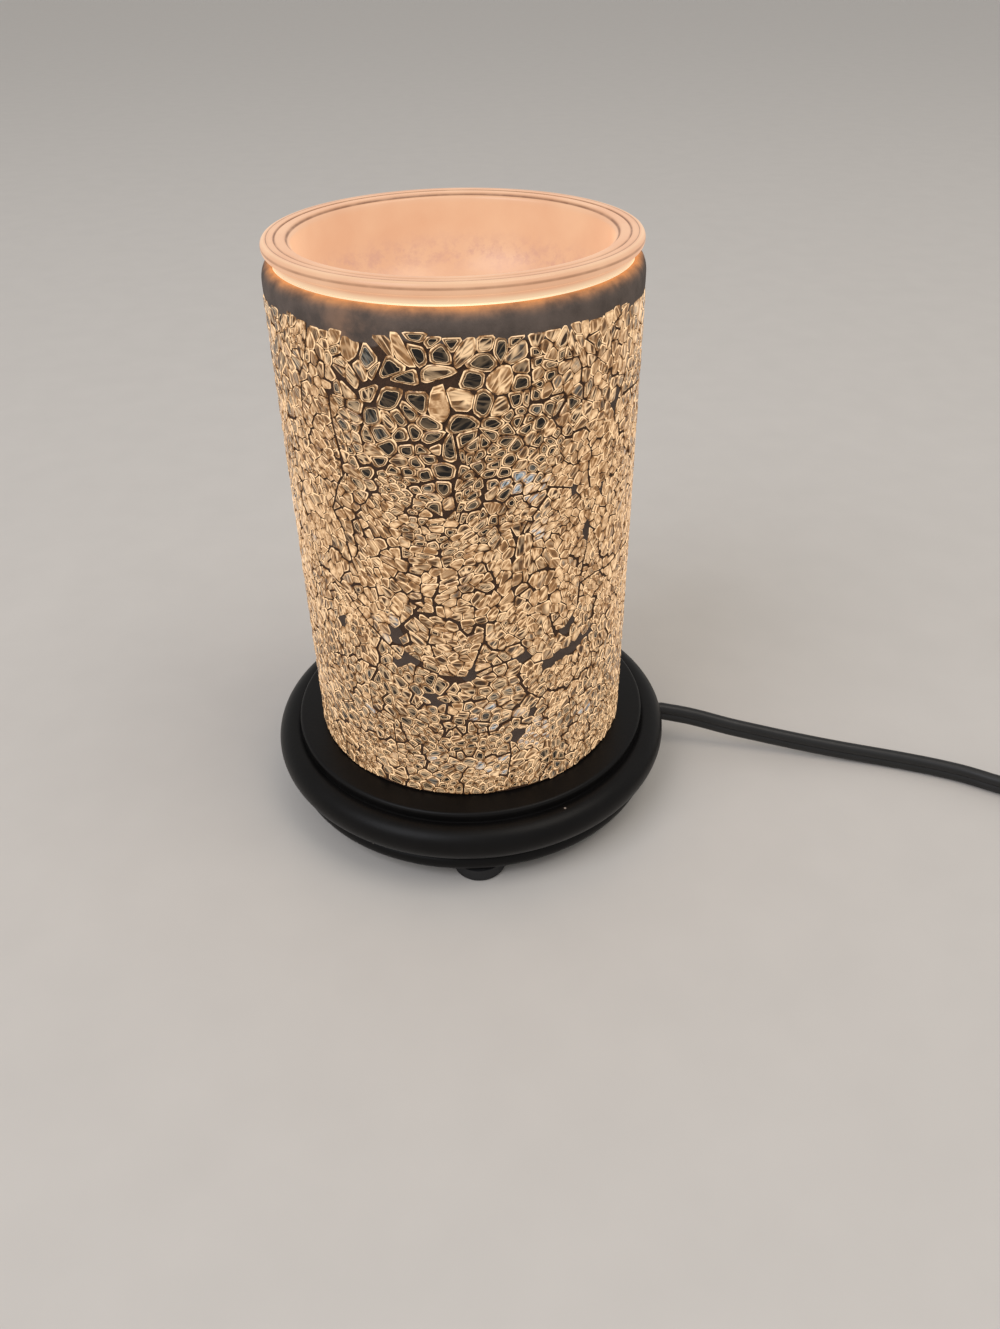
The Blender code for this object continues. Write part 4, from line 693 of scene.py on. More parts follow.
def lit_grout():
    """Sanded grout: grey on the band, brown with a painted lamp glow in the joints, painted bright behind the
    glass.

    "coat" holds how grey the coat is, and how much painted lamp light comes through it.
    """
    made, tree, shader, place = fresh("sanded_grout_lamp_glow")
    coat = add(tree, "SeparateColor", {"Color": add(tree, "Attribute", {}, attribute_name="coat")})
    greyness, lamp_glow = coat.outputs["Red"], coat.outputs["Green"]
    shades = colours()
    grout, joint = np.array(shades.grout), np.array(shades.joint)
    sand = add(tree, "TexNoise", {"Vector": place, "Scale": every(0.5), "Detail": 4.0, "Roughness": 0.7})
    smear = add(tree, "TexNoise", {"Vector": place, "Scale": every(7.0), "Detail": 5.0, "Roughness": 0.6})
    grey = add(tree, "ValToRGB", {"Fac": smear}, stops=[
        (0.36, tuple(grout * 0.72)), (0.52, tuple(grout)), (0.7, tuple(grout * 1.25)),
    ])
    brown = add(tree, "ValToRGB", {"Fac": sand}, stops=[(0.3, tuple(joint * 0.5)), (0.7, tuple(joint * 1.2))])
    coated = add(tree, "Mix", {"Factor": greyness, UNDER: brown, OVER: grey}, data_type="RGBA")
    # Where the coat is thin the painted lamp light comes through in soft blotches
    blotch = add(tree, "MapRange", {
        "Value": smear, "From Min": 0.35, "From Max": 0.65, "To Min": -0.25, "To Max": 0.25,
    })
    thin = add(tree, "Math", {0: lamp_glow, 1: blotch}, operation="ADD", use_clamp=True)
    full = add(tree, "Math", {0: lamp_glow, 1: 2.2}, operation="MULTIPLY", use_clamp=True)
    share = add(tree, "Math", {0: thin, 1: full}, operation="MULTIPLY")
    lit = add(tree, "Mix", {"Factor": share, UNDER: coated, OVER: shades.ember}, data_type="RGBA")
    # Only the lit and the brown grout give off painted light
    warmed = add(tree, "Math", {0: 0.45, 1: greyness}, operation="SUBTRACT", use_clamp=True)
    most = add(tree, "Math", {0: warmed, 1: share}, operation="MAXIMUM")
    shining = add(tree, "Mix", {"Factor": most, UNDER: BLACK, OVER: lit}, data_type="RGBA")
    bump = add(tree, "Bump", {"Height": sand, "Distance": 0.15 * MM, "Strength": 1.0})
    wire(tree, shader, {"Base Color": lit, "Emission Color": shining, "Emission Strength": 0.5})
    wire(tree, shader, {"Roughness": 0.9, "Normal": bump})
    return made


def frosted_dish():
    """Pressed glass frosted by acid: a painted glow of the lamp below, even and peach, brightest at its neck.

    "tint" holds how bright the neck is, how dark a groove is and how thick the dried film of wax is.
    """
    made, tree, shader, place = fresh("acid_frosted_glass_lamp_glow")
    tint = add(tree, "SeparateColor", {"Color": add(tree, "Attribute", {}, attribute_name="tint")})
    neck, dirt_and_shade, film = (tint.outputs[channel] for channel in ("Red", "Green", "Blue"))
    shades = colours()
    dish = np.array(shades.dish)
    # Frosting clouds the light softly over centimetres
    cloud = add(tree, "TexNoise", {"Vector": place, "Scale": every(16.0), "Detail": 3.0})
    body = add(tree, "ValToRGB", {"Fac": cloud}, stops=[
        (0.35, tuple(dish * (0.96, 0.92, 0.9))), (0.65, tuple(dish * (1.02, 1.04, 1.04))),
    ])
    # Dirt and painted shadow lie in the grooves, broken here and there
    worn = add(tree, "TexNoise", {"Vector": place, "Scale": every(5.0), "Detail": 4.0})
    broken = add(tree, "MapRange", {"Value": worn, "From Min": 0.3, "From Max": 0.6, "To Min": 0.65})
    groove = add(tree, "Math", {0: dirt_and_shade, 1: broken}, operation="MULTIPLY")
    # The dried film breaks up into streaks a few millimetres long
    streaks = add(tree, "TexNoise", {"Vector": place, "Scale": every(3.0), "Detail": 6.0, "Roughness": 0.75})
    streaked = add(tree, "MapRange", {"Value": streaks, "From Min": 0.44, "From Max": 0.62})
    filmed = add(tree, "Math", {0: streaked, 1: film}, operation="MULTIPLY")
    shown = body
    for share, over in ((neck, shades.neck), (groove, shades.ring), (filmed, shades.residue)):
        shown = add(tree, "Mix", {"Factor": share, UNDER: shown, OVER: over}, data_type="RGBA")
    frost = add(tree, "TexNoise", {"Vector": place, "Scale": every(0.6), "Detail": 3.0})
    bump = add(tree, "Bump", {"Height": frost, "Distance": 0.02 * MM, "Strength": 1.0})
    glow(tree, shader, shown, 0.26, 0.74)
    wire(tree, shader, {"Roughness": 0.34, "IOR": 1.5, "Normal": bump})
    return made


def painted_wood():
    """Turned wood under satin black paint: a faint orange peel, and a few chips and dust specks."""
    made, tree, shader, place = fresh("satin_black_painted_wood")
    paint = np.array(colours().paint)
    peel = add(tree, "TexNoise", {"Vector": place, "Scale": every(1.4), "Detail": 3.0})
    wear = add(tree, "TexNoise", {"Vector": place, "Scale": every(18.0), "Detail": 5.0, "Roughness": 0.65})
    stops = [(0.35, tuple(paint * 0.8)), (0.7, tuple(paint * 1.35))]
    tone = add(tree, "ValToRGB", {"Fac": wear}, stops=stops)
    # Specks lie about 9 mm apart, and only one place in eight has one
    specks = add(tree, "TexVoronoi", {"Vector": place, "Scale": every(9.0)})
    near = add(tree, "Math", {0: specks, 1: 0.045}, operation="LESS_THAN")
    drawn = add(tree, "SeparateColor", {"Color": specks.outputs["Color"]})
    few = add(tree, "Math", {0: drawn, 1: 0.88}, operation="GREATER_THAN")
    speck = add(tree, "Math", {0: near, 1: few}, operation="MULTIPLY")
    specked = add(tree, "Mix", {"Factor": speck, UNDER: tone, OVER: colours().speck}, data_type="RGBA")
    sheen = add(tree, "MapRange", {"Value": wear, "To Min": 0.30, "To Max": 0.48})
    bump = add(tree, "Bump", {"Height": peel, "Distance": 0.03 * MM, "Strength": 1.0})
    wire(tree, shader, {"Base Color": specked, "Specular IOR Level": 0.16})
    wire(tree, shader, {"Roughness": sheen, "Normal": bump})
    return made


# The glow is the lamp's own in its capsule, and painted lamp light on the shade's glass
def clear_glass(name, roughness, strength=0.0, lit_above=-1.0):
    """Blown or drawn glass: clear, faintly green in its thickness, slightly waved, and lit above a height."""
    made, tree, shader, place = fresh(name)
    wave = add(tree, "TexNoise", {"Vector": place, "Scale": every(12.0), "Detail": 2.0})
    tone = add(tree, "ValToRGB", {"Fac": wave}, stops=[(0.3, linear("#F3F7F3")), (0.7, linear("#FFFFFD"))])
    height = add(tree, "SeparateXYZ", {"Vector": place}).outputs["Z"]
    above = add(tree, "MapRange", {
        "Value": height, "From Min": (lit_above - 1.5) * MM, "From Max": lit_above * MM,
    })
    lit = add(tree, "ValToRGB", {"Fac": above}, stops=[(0.0, BLACK), (1.0, colours().neck)])
    bump = add(tree, "Bump", {"Height": wave, "Distance": 0.05 * MM, "Strength": 0.6})
    wire(tree, shader, {"Base Color": tone, "Transmission Weight": 1.0, "Roughness": roughness, "IOR": 1.5})
    wire(tree, shader, {"Normal": bump, "Emission Color": lit, "Emission Strength": strength})
    return made


# The finish of each material slot that carried-over CAD nodes show: name, colour, roughness from and
# to, size of the grain and its relief in millimetres, and further settings
PLATED = {"metallic": 1.0, "mottle": 0.12, "Anisotropic": 0.3}
SLOT_FINISHES = {
    # Pressed fibreboard is matt and fibrous
    "fibreboard": ("pressed_fibreboard", "#1C1B1A", (0.75, 0.95), 0.35, 0.06, {}),
    # Moulded rubber has a fine matt skin with a dusty bloom
    "rubber": ("moulded_rubber", "#18181A", (0.62, 0.82), 0.5, 0.03, {"mottle": 0.35}),
    # Unglazed steatite is white, dense and slightly chalky
    "ceramic": ("pressed_steatite", "#E2DED2", (0.35, 0.6), 0.4, 0.03, {"mottle": 0.05}),
    # Bright zinc over steel shows a faint crystal pattern
    "zinc_plated_steel": ("zinc_plated_steel", "#BFC0C2", (0.22, 0.42), 0.6, 0.01, PLATED),
    # Rolled brass strip tarnishes a little in patches
    "brass": ("rolled_brass", "#D8B061", (0.2, 0.38), 0.5, 0.01, {"metallic": 1.0, "mottle": 0.18}),
    # Braided sleeving looks like fine cloth with a silicone skin
    "silicone_sleeve": ("silicone_sleeving", "#DFDCD2", (0.5, 0.7), 0.45, 0.06, {"mottle": 0.06}),
    # Moulded nylon is an even matt black
    "nylon": ("moulded_nylon", "#1A1A1B", (0.42, 0.58), 0.4, 0.02, {"mottle": 0.2}),
}


def slot_finish(slot):
    if slot == "black_vinyl":
        return moulded_vinyl()
    name, code, rough, grain, relief, more = SLOT_FINISHES[slot]
    return grained(name, linear(code), rough, grain, relief, **more)


def moulded_vinyl():
    """Moulded flexible vinyl: satin, with a fine grain from its mould."""
    return grained("moulded_flexible_vinyl", colours().vinyl[:], (0.36, 0.56), 0.45, 0.025, mottle=0.3)


# The cord's lines


def smooth_line(knots, step):
    """Points about one step apart on cubic Hermite spans, with slopes taken across each knot's neighbours."""
    knots = np.asarray(knots, float)
    spans = np.linalg.norm(np.diff(knots, axis=0), axis=1)
    number = np.arange(len(knots))
    before, after = np.maximum(number - 1, 0), np.minimum(number + 1, len(knots) - 1)
    reach = np.concatenate([[0], np.cumsum(spans)])
    slopes = (knots[after] - knots[before]) / (reach[after] - reach[before])[:, None]
    lines = [knots[:1]]
    for i, span in enumerate(spans):
        count = max(1, round(span / step))
        t = (np.arange(count) + 1)[:, None] / count
        leaving = knots[i] * (2 * t**3 - 3 * t**2 + 1) + slopes[i] * span * (t**3 - 2 * t**2 + t)
        arriving = knots[i + 1] * (3 * t**2 - 2 * t**3) + slopes[i + 1] * span * (t**3 - t**2)
        lines.append(leaving + arriving)
    return np.concatenate(lines)


def eased(low, high, share):
    """From low to high over shares from 0 to 1, level at both ends: half a cosine wave."""
    return low + (high - low) * (1 - np.cos(np.pi * share)) / 2


def eased_run(start, end, y, low, high, count):
    """A run of the cord along X, from one height to another."""
    share = np.linspace(0, 1, count)
    return np.stack([start + (end - start) * share, np.full(count, y), eased(low, high, share)], 1)


def on_exit(reach):
    """A place on the cord's way out of the base, at a distance from the warmer's axis."""
    return reach * np.cos(CORD_EXIT_TURN), reach * np.sin(CORD_EXIT_TURN), CORD_EXIT_HEIGHT


def lead_line():
    """The cord from inside the base to the switch."""
    middle_x, middle_y, middle_z = SWITCH_CENTRE
    end = (middle_x - SWITCH_HALF_LENGTH + CORD_GRIP, middle_y, middle_z)
    return smooth_line([on_exit(reach) for reach in LEAD_INSIDE] + list(LEAD_ROUTE) + [end], 3.0)


def stored_line():
    """The cord from the switch into the coil, in along the table and out again above, and to the plug.

    The coil's radius falls by its pitch a turn to the innermost turn, and grows again above it.
    """
    middle_x, middle_y, middle_z = SWITCH_CENTRE
    start = middle_x + SWITCH_HALF_LENGTH
    link = eased_run(start, COIL_ENTRY, middle_y, middle_z, COIL_LOW, 13)
    half = 2 * np.pi * COIL_TURNS
    turn = np.linspace(0, 2 * half, 265)
    radius = COIL_OUTER - COIL_PITCH * (half - np.abs(turn - half)) / (2 * np.pi)
    height = eased(COIL_LOW, COIL_HIGH, np.clip((turn - half) / np.pi + 0.5, 0, 1))
    a = turn - np.pi / 2
    coil = np.stack([COIL_CENTRE[0] + radius * np.cos(a), COIL_CENTRE[1] + radius * np.sin(a), height], 1)
    tail = eased_run(COIL_ENTRY, PLUG_END, PLUG_LINE, COIL_HIGH, PLUG_MIDDLE, 17)
    first, last = (start - CORD_GRIP, middle_y, middle_z), (PLUG_END - CORD_GRIP, PLUG_LINE, PLUG_MIDDLE)
    return np.concatenate([[first], link, coil, tail, [last]])


def cord_section(room):
    """The flat cord's outline: two circles, one above the other, that run into each other."""
    meet = np.degrees(np.arcsin(CORE_RISE / (CORE_RADIUS + room)))
    upper = arc((0.0, CORE_RISE), CORE_RADIUS + room, -meet, 180 + meet, 13)[:-1]
    return np.array(upper + [(-x, -y) for x, y in upper])


def cord_mesh(name, line, room=0.0):
    """The cord's section, with some room round it, carried along a line with its long side upright."""
    ahead = np.gradient(line, axis=0)
    ahead /= np.linalg.norm(ahead, axis=1)[:, None]
    side = np.cross(ahead, (0.0, 0.0, 1.0))
    side /= np.linalg.norm(side, axis=1)[:, None]
    rise = np.cross(side, ahead)
    section = cord_section(room)
    points = line[:, None] + side[:, None] * section[None, :, :1] + rise[:, None] * section[None, :, 1:]
    points[..., 2] = np.maximum(points[..., 2], 0.0)
    return tidy_mesh(fill_mesh(name, points.reshape(-1, 3), *tube_faces(len(line), len(section))), 50)


def exit_frame():
    """Turns Z outwards along the cord's way out of the base, at its height."""
    out = Matrix.Rotation(CORD_EXIT_TURN, 4, "Z") @ Matrix.Rotation(np.pi / 2, 4, "Y")
    return Matrix.Translation((0, 0, CORD_EXIT_HEIGHT * MM)) @ out


def cord_way(start, end):
    """A cutter for the cord's way through a wall, straight from one place to another."""
    return cord_mesh("cord_way", np.linspace(start, end, 3), 0.12)


# The shade's mosaic


def wrapped(across):
    """Distances across the unrolled shade, taken the short way round."""
    return (across + GIRTH / 2) % GIRTH - GIRTH / 2


def on_shade(across, up, radius):
    """Points of the unrolled shade rolled up again: the turn is the distance across over the radius."""
    turn = across / FRAGMENT_OUTER
    return np.stack([radius * np.cos(turn), radius * np.sin(turn), up + 0 * turn], axis=-1)


def unrolled(places):
    """(turn in degrees, height) to distance across and height."""
    places = np.asarray(places, float)
    return np.stack([np.radians(places[..., 0]) * FRAGMENT_OUTER, places[..., 1]], axis=-1)


def band_edge(turn):
    """Height of the grout band's lower edge: a slow swing, a ragged edge and the marks of fingers."""
    slow = 0.45 * (np.sin(7 * turn + 0.6) + 0.7 * np.sin(11 * turn + 2.1) + 0.5 * np.sin(17 * turn))
    ragged = np.sin(31 * turn + 1.7) * np.sin(9 * turn)
    fingers = 0.8 * np.sin(53 * turn + 0.4) * np.sin(13 * turn + 2.0)
    return SHADE_TOP - BAND_HEIGHT - 1.6 * np.sin(turn) + slow + 0.32 * (ragged + fingers)


def mosaic_foot(turn):
    """Height of the mosaic's lower edge, which waves a little over the grout's foot."""
    return COAT_FOOT + 0.3 * (1 + 0.6 * np.sin(9 * turn + 1.0) + 0.4 * np.sin(14 * turn))


def openness(across, up):
    """How clear the glass looks at a place, from 0 to 1: bell-shaped windows, flat-topped."""
    turn = np.degrees(across / FRAGMENT_OUTER)
    clear = np.zeros(np.broadcast(across, up).shape)
    for middle, height, depth in CLEAR_WINDOWS:
        off = ((turn - middle + 180) % 360 - 180) / WINDOW_HALF_TURN
        rise = (up - height) / WINDOW_HALF_HEIGHT
        clear = np.maximum(clear, depth * np.exp(-((off**2 + rise**2) ** 1.6)))
    return clear


def nearest(points, seeds, count):
    """The nearest seeds of each point: their numbers, and the ways to them, across and up."""
    numbers, ways = [], []
    for batch in np.array_split(points, max(1, len(points) * len(seeds) // MOST_PAIRS)):
        across, up = (seeds[None, :, k] - batch[:, None, k] for k in (0, 1))
        way = np.stack([wrapped(across), up], -1)
        number = np.argpartition((way**2).sum(-1), count, axis=1)[:, :count]
        numbers.append(number)
        ways.append(np.take_along_axis(way, number[..., None], axis=1))
    return np.concatenate(numbers), np.concatenate(ways)


def sheets_of(rng):
    """The sheets: middles on a shaken hexagonal grid over the shade, and the way each one's cracks run.

    At the front the cracks run level, and to the sides they turn upright: 90 degrees times the tanh of
    1.5 times the turn from the front, with a wave over the height. Chance turns each way by about 11
    degrees at the front and 23 at the sides.
    """
    pitch = sizes().sheet / MM
    columns, rows = round(GIRTH / pitch), round((SHADE_TOP - COAT_FOOT) / pitch) + 2
    j, i = np.meshgrid(np.arange(rows), np.arange(columns), indexing="ij")
    across = (i + 0.5 * (j % 2) + rng.uniform(-SHEET_SHAKE, SHEET_SHAKE, i.shape)) * GIRTH / columns
    up = COAT_FOOT + (j - 0.5 + rng.uniform(-SHEET_SHAKE, SHEET_SHAKE, i.shape)) * pitch
    across, up = across.ravel(), up.ravel()
    turn = wrapped(across - np.radians(FRONT_TURN) * FRAGMENT_OUTER) / FRAGMENT_OUTER
    chance = rng.normal(0, 0.4, across.shape) * (0.5 + 0.5 * np.sin(turn) ** 2)
    way = np.pi / 2 * np.tanh(1.5 * turn) + 0.35 * np.sin(up / 13 + 2 * turn) + chance
    return np.stack([across, up], -1), way


def fragment_seeds(rng, sheets, ways):
    """The fragments' middles, the sheet of each, and how far each sheet draws its fragments out.

    In each sheet they lie on a shaken hexagonal grid, turned to the sheet's way and drawn out along it,
    as far as this sheet is the nearest one.
    """
    size = sizes()
    across, up = sheets.T
    clear, high = openness(across, up), ramp(up, 118, 140)
    # Under each clear window the fragments are slender, and beside the front they are narrow too
    slender = openness(across, up + 22)
    beside = np.sin(across / FRAGMENT_OUTER - np.radians(FRONT_TURN)) ** 2
    usual = size.fragment / MM * (1 - 0.08 * ramp(up, 70, 40)) * (1 - 0.2 * slender)
    wide = size.clear_fragment / MM * (0.66 + 0.74 * high)
    narrow = (usual * (1 - 0.17 * beside) + (wide - usual) * clear) * rng.uniform(0.7, 1.25, len(sheets))
    least = 1.1 + 0.5 * slender * (1 - high)
    most = 1.9 + 0.7 * slender * (1 - high) - 0.5 * high * clear
    stretch = rng.uniform(least, most, len(sheets))
    long = HEXAGON * stretch * narrow
    reach = np.arange(-SEED_REACH, SEED_REACH + 1)
    i, j = np.meshgrid(reach, reach, indexing="ij")
    shake = rng.uniform(-SEED_SHAKE, SEED_SHAKE, (2, len(sheets), *i.shape))
    along = (i + 0.5 * (j % 2) + shake[0]) * long[:, None, None]
    aside = (j + shake[1]) * narrow[:, None, None]
    c, s = np.cos(ways)[:, None, None], np.sin(ways)[:, None, None]
    points = np.stack([along * c - aside * s, along * s + aside * c], -1) + sheets[:, None, None]
    owner = np.broadcast_to(np.arange(len(sheets))[:, None, None], points.shape[:3]).ravel()
    points = points.reshape(-1, 2)
    near = np.hypot(*(points - sheets[owner]).T) < 1.6 * size.sheet / MM
    inside = near & (points[:, 1] > COAT_FOOT) & (points[:, 1] < SHADE_TOP - 3)
    points, owner = points[inside], owner[inside]
    number, way = nearest(points, sheets, 6)
    closest = np.take_along_axis(number, (way**2).sum(-1).argmin(1)[:, None], 1)[:, 0]
    own = closest == owner
    return points[own], owner[own], stretch


def near_lines(points, lines):
    """For each point the nearest of some lines: the way to its middle, the distance, and its half width."""
    starts = unrolled([place for line, width in lines for place in line[:-1]])
    ends = unrolled([place for line, width in lines for place in line[1:]])
    widths = np.array([width for line, width in lines for place in line[1:]])
    along = ends - starts
    off = np.stack([wrapped(points[:, None, 0] - starts[:, 0]), points[:, None, 1] - starts[:, 1]], -1)
    share = np.clip((off * along).sum(-1) / (along**2).sum(-1), 0, 1)
    way = share[..., None] * along - off
    best = np.argmin(np.linalg.norm(way, axis=-1) - widths, axis=1)
    way = way[np.arange(len(points)), best]
    return way, np.linalg.norm(way, axis=1), widths[best]


def cell_corners(normals, limits):
    """Corners of the convex cells x . n <= limit, in order round each cell: (corners, which are real).

    Every two lines of a cell cross somewhere, and a crossing that no other line cuts off is a corner.
    """
    first, second = np.triu_indices(limits.shape[1], 1)
    corners, real = [], []
    for n, limit in zip(np.array_split(normals, 24), np.array_split(limits, 24)):
        a, b, p, q = n[:, first], n[:, second], limit[:, first], limit[:, second]
        cross = a[..., 0] * b[..., 1] - a[..., 1] * b[..., 0]
        cross = np.where(np.abs(cross) < 1e-9, np.nan, cross)
        spot = np.stack([p * b[..., 1] - q * a[..., 1], q * a[..., 0] - p * b[..., 0]], -1) / cross[..., None]
        spot = np.where(np.isfinite(spot), spot, 1e6)
        held = np.ones(cross.shape, bool)
        for k in range(limit.shape[1]):
            held &= (spot * n[:, k, None]).sum(-1) <= limit[:, k, None] + 1e-7
        # Crossings that are cut off sort behind every real angle
        angle = np.where(held, np.arctan2(spot[..., 1], spot[..., 0]), 9.0)
        order = np.argsort(angle, axis=1)[:, :MOST_CORNERS]
        corners.append(np.take_along_axis(spot, order[..., None], 1))
        real.append(np.take_along_axis(held, order, 1))
    return np.concatenate(corners), np.concatenate(real)


def fragments(rng):
    """The fragments' outlines: middles, their sheets, their lay, flat corners and which of them are real.

    Each fragment is a convex cell, cut halfway to its neighbours and by the mosaic's edges, the nearest
    long crack and the nearest bare patch. A lay is the place in the sheet, across and up, and its way.
    """
    size = sizes()
    sheets, ways = sheets_of(rng)
    seeds, owner, stretch = fragment_seeds(rng, sheets, ways)
    turn = seeds[:, 0] / FRAGMENT_OUTER
    roomy = (band_edge(turn) - seeds[:, 1] > EDGE_ROOM) & (seeds[:, 1] - mosaic_foot(turn) > EDGE_ROOM)
    seeds, owner = seeds[roomy], owner[roomy]
    # Fragments beside a long crack step back from it, and one that still lies in it is left out
    off, distance, width = near_lines(seeds, LONG_CRACKS)
    back = np.clip(STEP_BACK + width - distance, 0, None) / np.maximum(distance, 1e-3)
    seeds = seeds - off * back[:, None]
    off, distance, width = near_lines(seeds, LONG_CRACKS)
    roomy = distance - width > CRACK_ROOM
    seeds, owner, off, width, distance = (x[roomy] for x in (seeds, owner, off, width, distance))
    patches = [((start, end), half_width) for start, end, half_width in BARE_PATCHES]
    patch_off, patch_distance, patch_width = near_lines(seeds, patches)
    patch_distance = np.maximum(patch_distance, 1e-6)
    number, way = nearest(seeds, seeds, NEIGHBOURS)
    other = owner[number]
    # Inside a sheet a length along its way counts for less, so that its fragments are drawn out that way
    lean = np.stack([np.cos(ways[owner]), np.sin(ways[owner])], -1)[:, None]
    less = np.where(other == owner[:, None], 1 / stretch[owner][:, None] ** 2 - 1, 0.0)
    pull = way + (less * (way * lean).sum(-1))[..., None] * lean
    gap = np.linalg.norm(pull, axis=-1)
    own = gap < 1e-9
    gap[own] = 1.0
    normal = pull / gap[..., None]
    halfway = (way * pull).sum(-1) / (2 * gap)
    # The joint between two sheets has one width all along, drawn from both their numbers
    pair = np.minimum(owner[:, None], other) * 7.31 + np.maximum(owner[:, None], other) * 3.77
    drawn = np.abs(np.modf(np.sin(pair) * 4375.85)[0])
    joint = size.joint / MM * (0.4 + 1.4 * drawn**3)
    inset = np.where(other == owner[:, None], size.hairline / MM, joint)
    # Two fragments on opposite sides of a crack end at the crack, and others halfway between their middles
    ahead = off / np.maximum(distance, 1e-6)[:, None]
    across = (way * ahead[:, None]).sum(-1) > distance[:, None]
    across &= -(way * ahead[number]).sum(-1) > distance[number]
    limit = np.where(own | across, NO_LIMIT, halfway - inset)
    turn = seeds[:, 0] / FRAGMENT_OUTER
    room = np.stack([
        band_edge(turn) - 0.1 - rng.uniform(0, 0.4, len(seeds)) - seeds[:, 1],
        seeds[:, 1] - mosaic_foot(turn) - rng.uniform(0, 0.5, len(seeds)),
        distance - width,
        patch_distance - patch_width,
    ], 1)
    level = np.tile((0.0, 1.0), (len(seeds), 1))
    edges = np.stack([level, -level, ahead, patch_off / patch_distance[:, None]], 1)
    whole = (room > LEAST_ROOM).all(1)
    normals = np.concatenate([normal, edges], 1)[whole]
    limits = np.concatenate([limit, room], 1)[whole]
    corners, real = cell_corners(normals, limits)
    enough = real.sum(1) > 2
    seeds, owner = seeds[whole][enough], owner[whole][enough]
    lay = np.stack([wrapped(seeds[:, 0] - sheets[owner, 0]), seeds[:, 1] - sheets[owner, 1], ways[owner]], 1)
    return seeds, owner, lay, corners[enough], real[enough]


def rounds(sides):
    """For corners listed cell by cell: where each cell starts, and the next corner round it of each."""
    starts = np.concatenate([[0], np.cumsum(sides)[:-1]])
    follow = np.arange(sides.sum()) + 1
    follow[starts + sides - 1] = starts
    return starts, follow


def chip_light(rng, owner, top, clear):
    """How much painted lamp light each chip's face has and how much it mirrors: sheet by sheet, then chip by
    chip.

    Chips are painted darkest in the clear windows and low down, and more of them are full of light at the
    sides.
    """
    across, up = top.T
    sheet_rng = np.random.default_rng(5)
    sheet_light = sheet_rng.uniform(-1, 1, MOST_SHEETS)[owner]
    sheet_mirror = sheet_rng.uniform(0, 1, MOST_SHEETS)[owner]
    light = 0.585 + 0.09 * sheet_light + 0.13 * rng.normal(0, 1, len(top)) - 0.27 * ramp(up, 88, 48)
    see_through = clear * (rng.uniform(0, 1, len(top)) < 0.3 + 0.6 * clear)
    light += 0.12 * bell(up, 95, 22)
    light = np.clip(light - 0.8 * see_through - 0.1 * clear, 0.0, 0.84)
    beside = np.clip(1.25 * np.sin(across / FRAGMENT_OUTER - np.radians(FRONT_TURN)) ** 2 - 0.15, 0, 1)
    full = (rng.uniform(0, 1, len(top)) < 0.04 + 0.2 * beside) & (light > 0.45) & (clear < 0.3)
    fullness = np.clip(0.89 + 0.04 * rng.normal(0, 1, len(top)), 0.84, 0.95)
    light = np.where(full, fullness, light + 0.1 * beside)
    mirror = 0.62 * sheet_mirror + 0.38 * rng.uniform(0, 1, len(top)) - 0.05 * ramp(up, 115, 135)
    for turn, height, half_turn, half_height, much in MIRRORING:
        off = (np.degrees(across / FRAGMENT_OUTER) - turn + 180) % 360 - 180
        mirror += much * bell(off, 0, half_turn) * bell(up, height, half_height)
    return np.stack([light, mirror], 1)


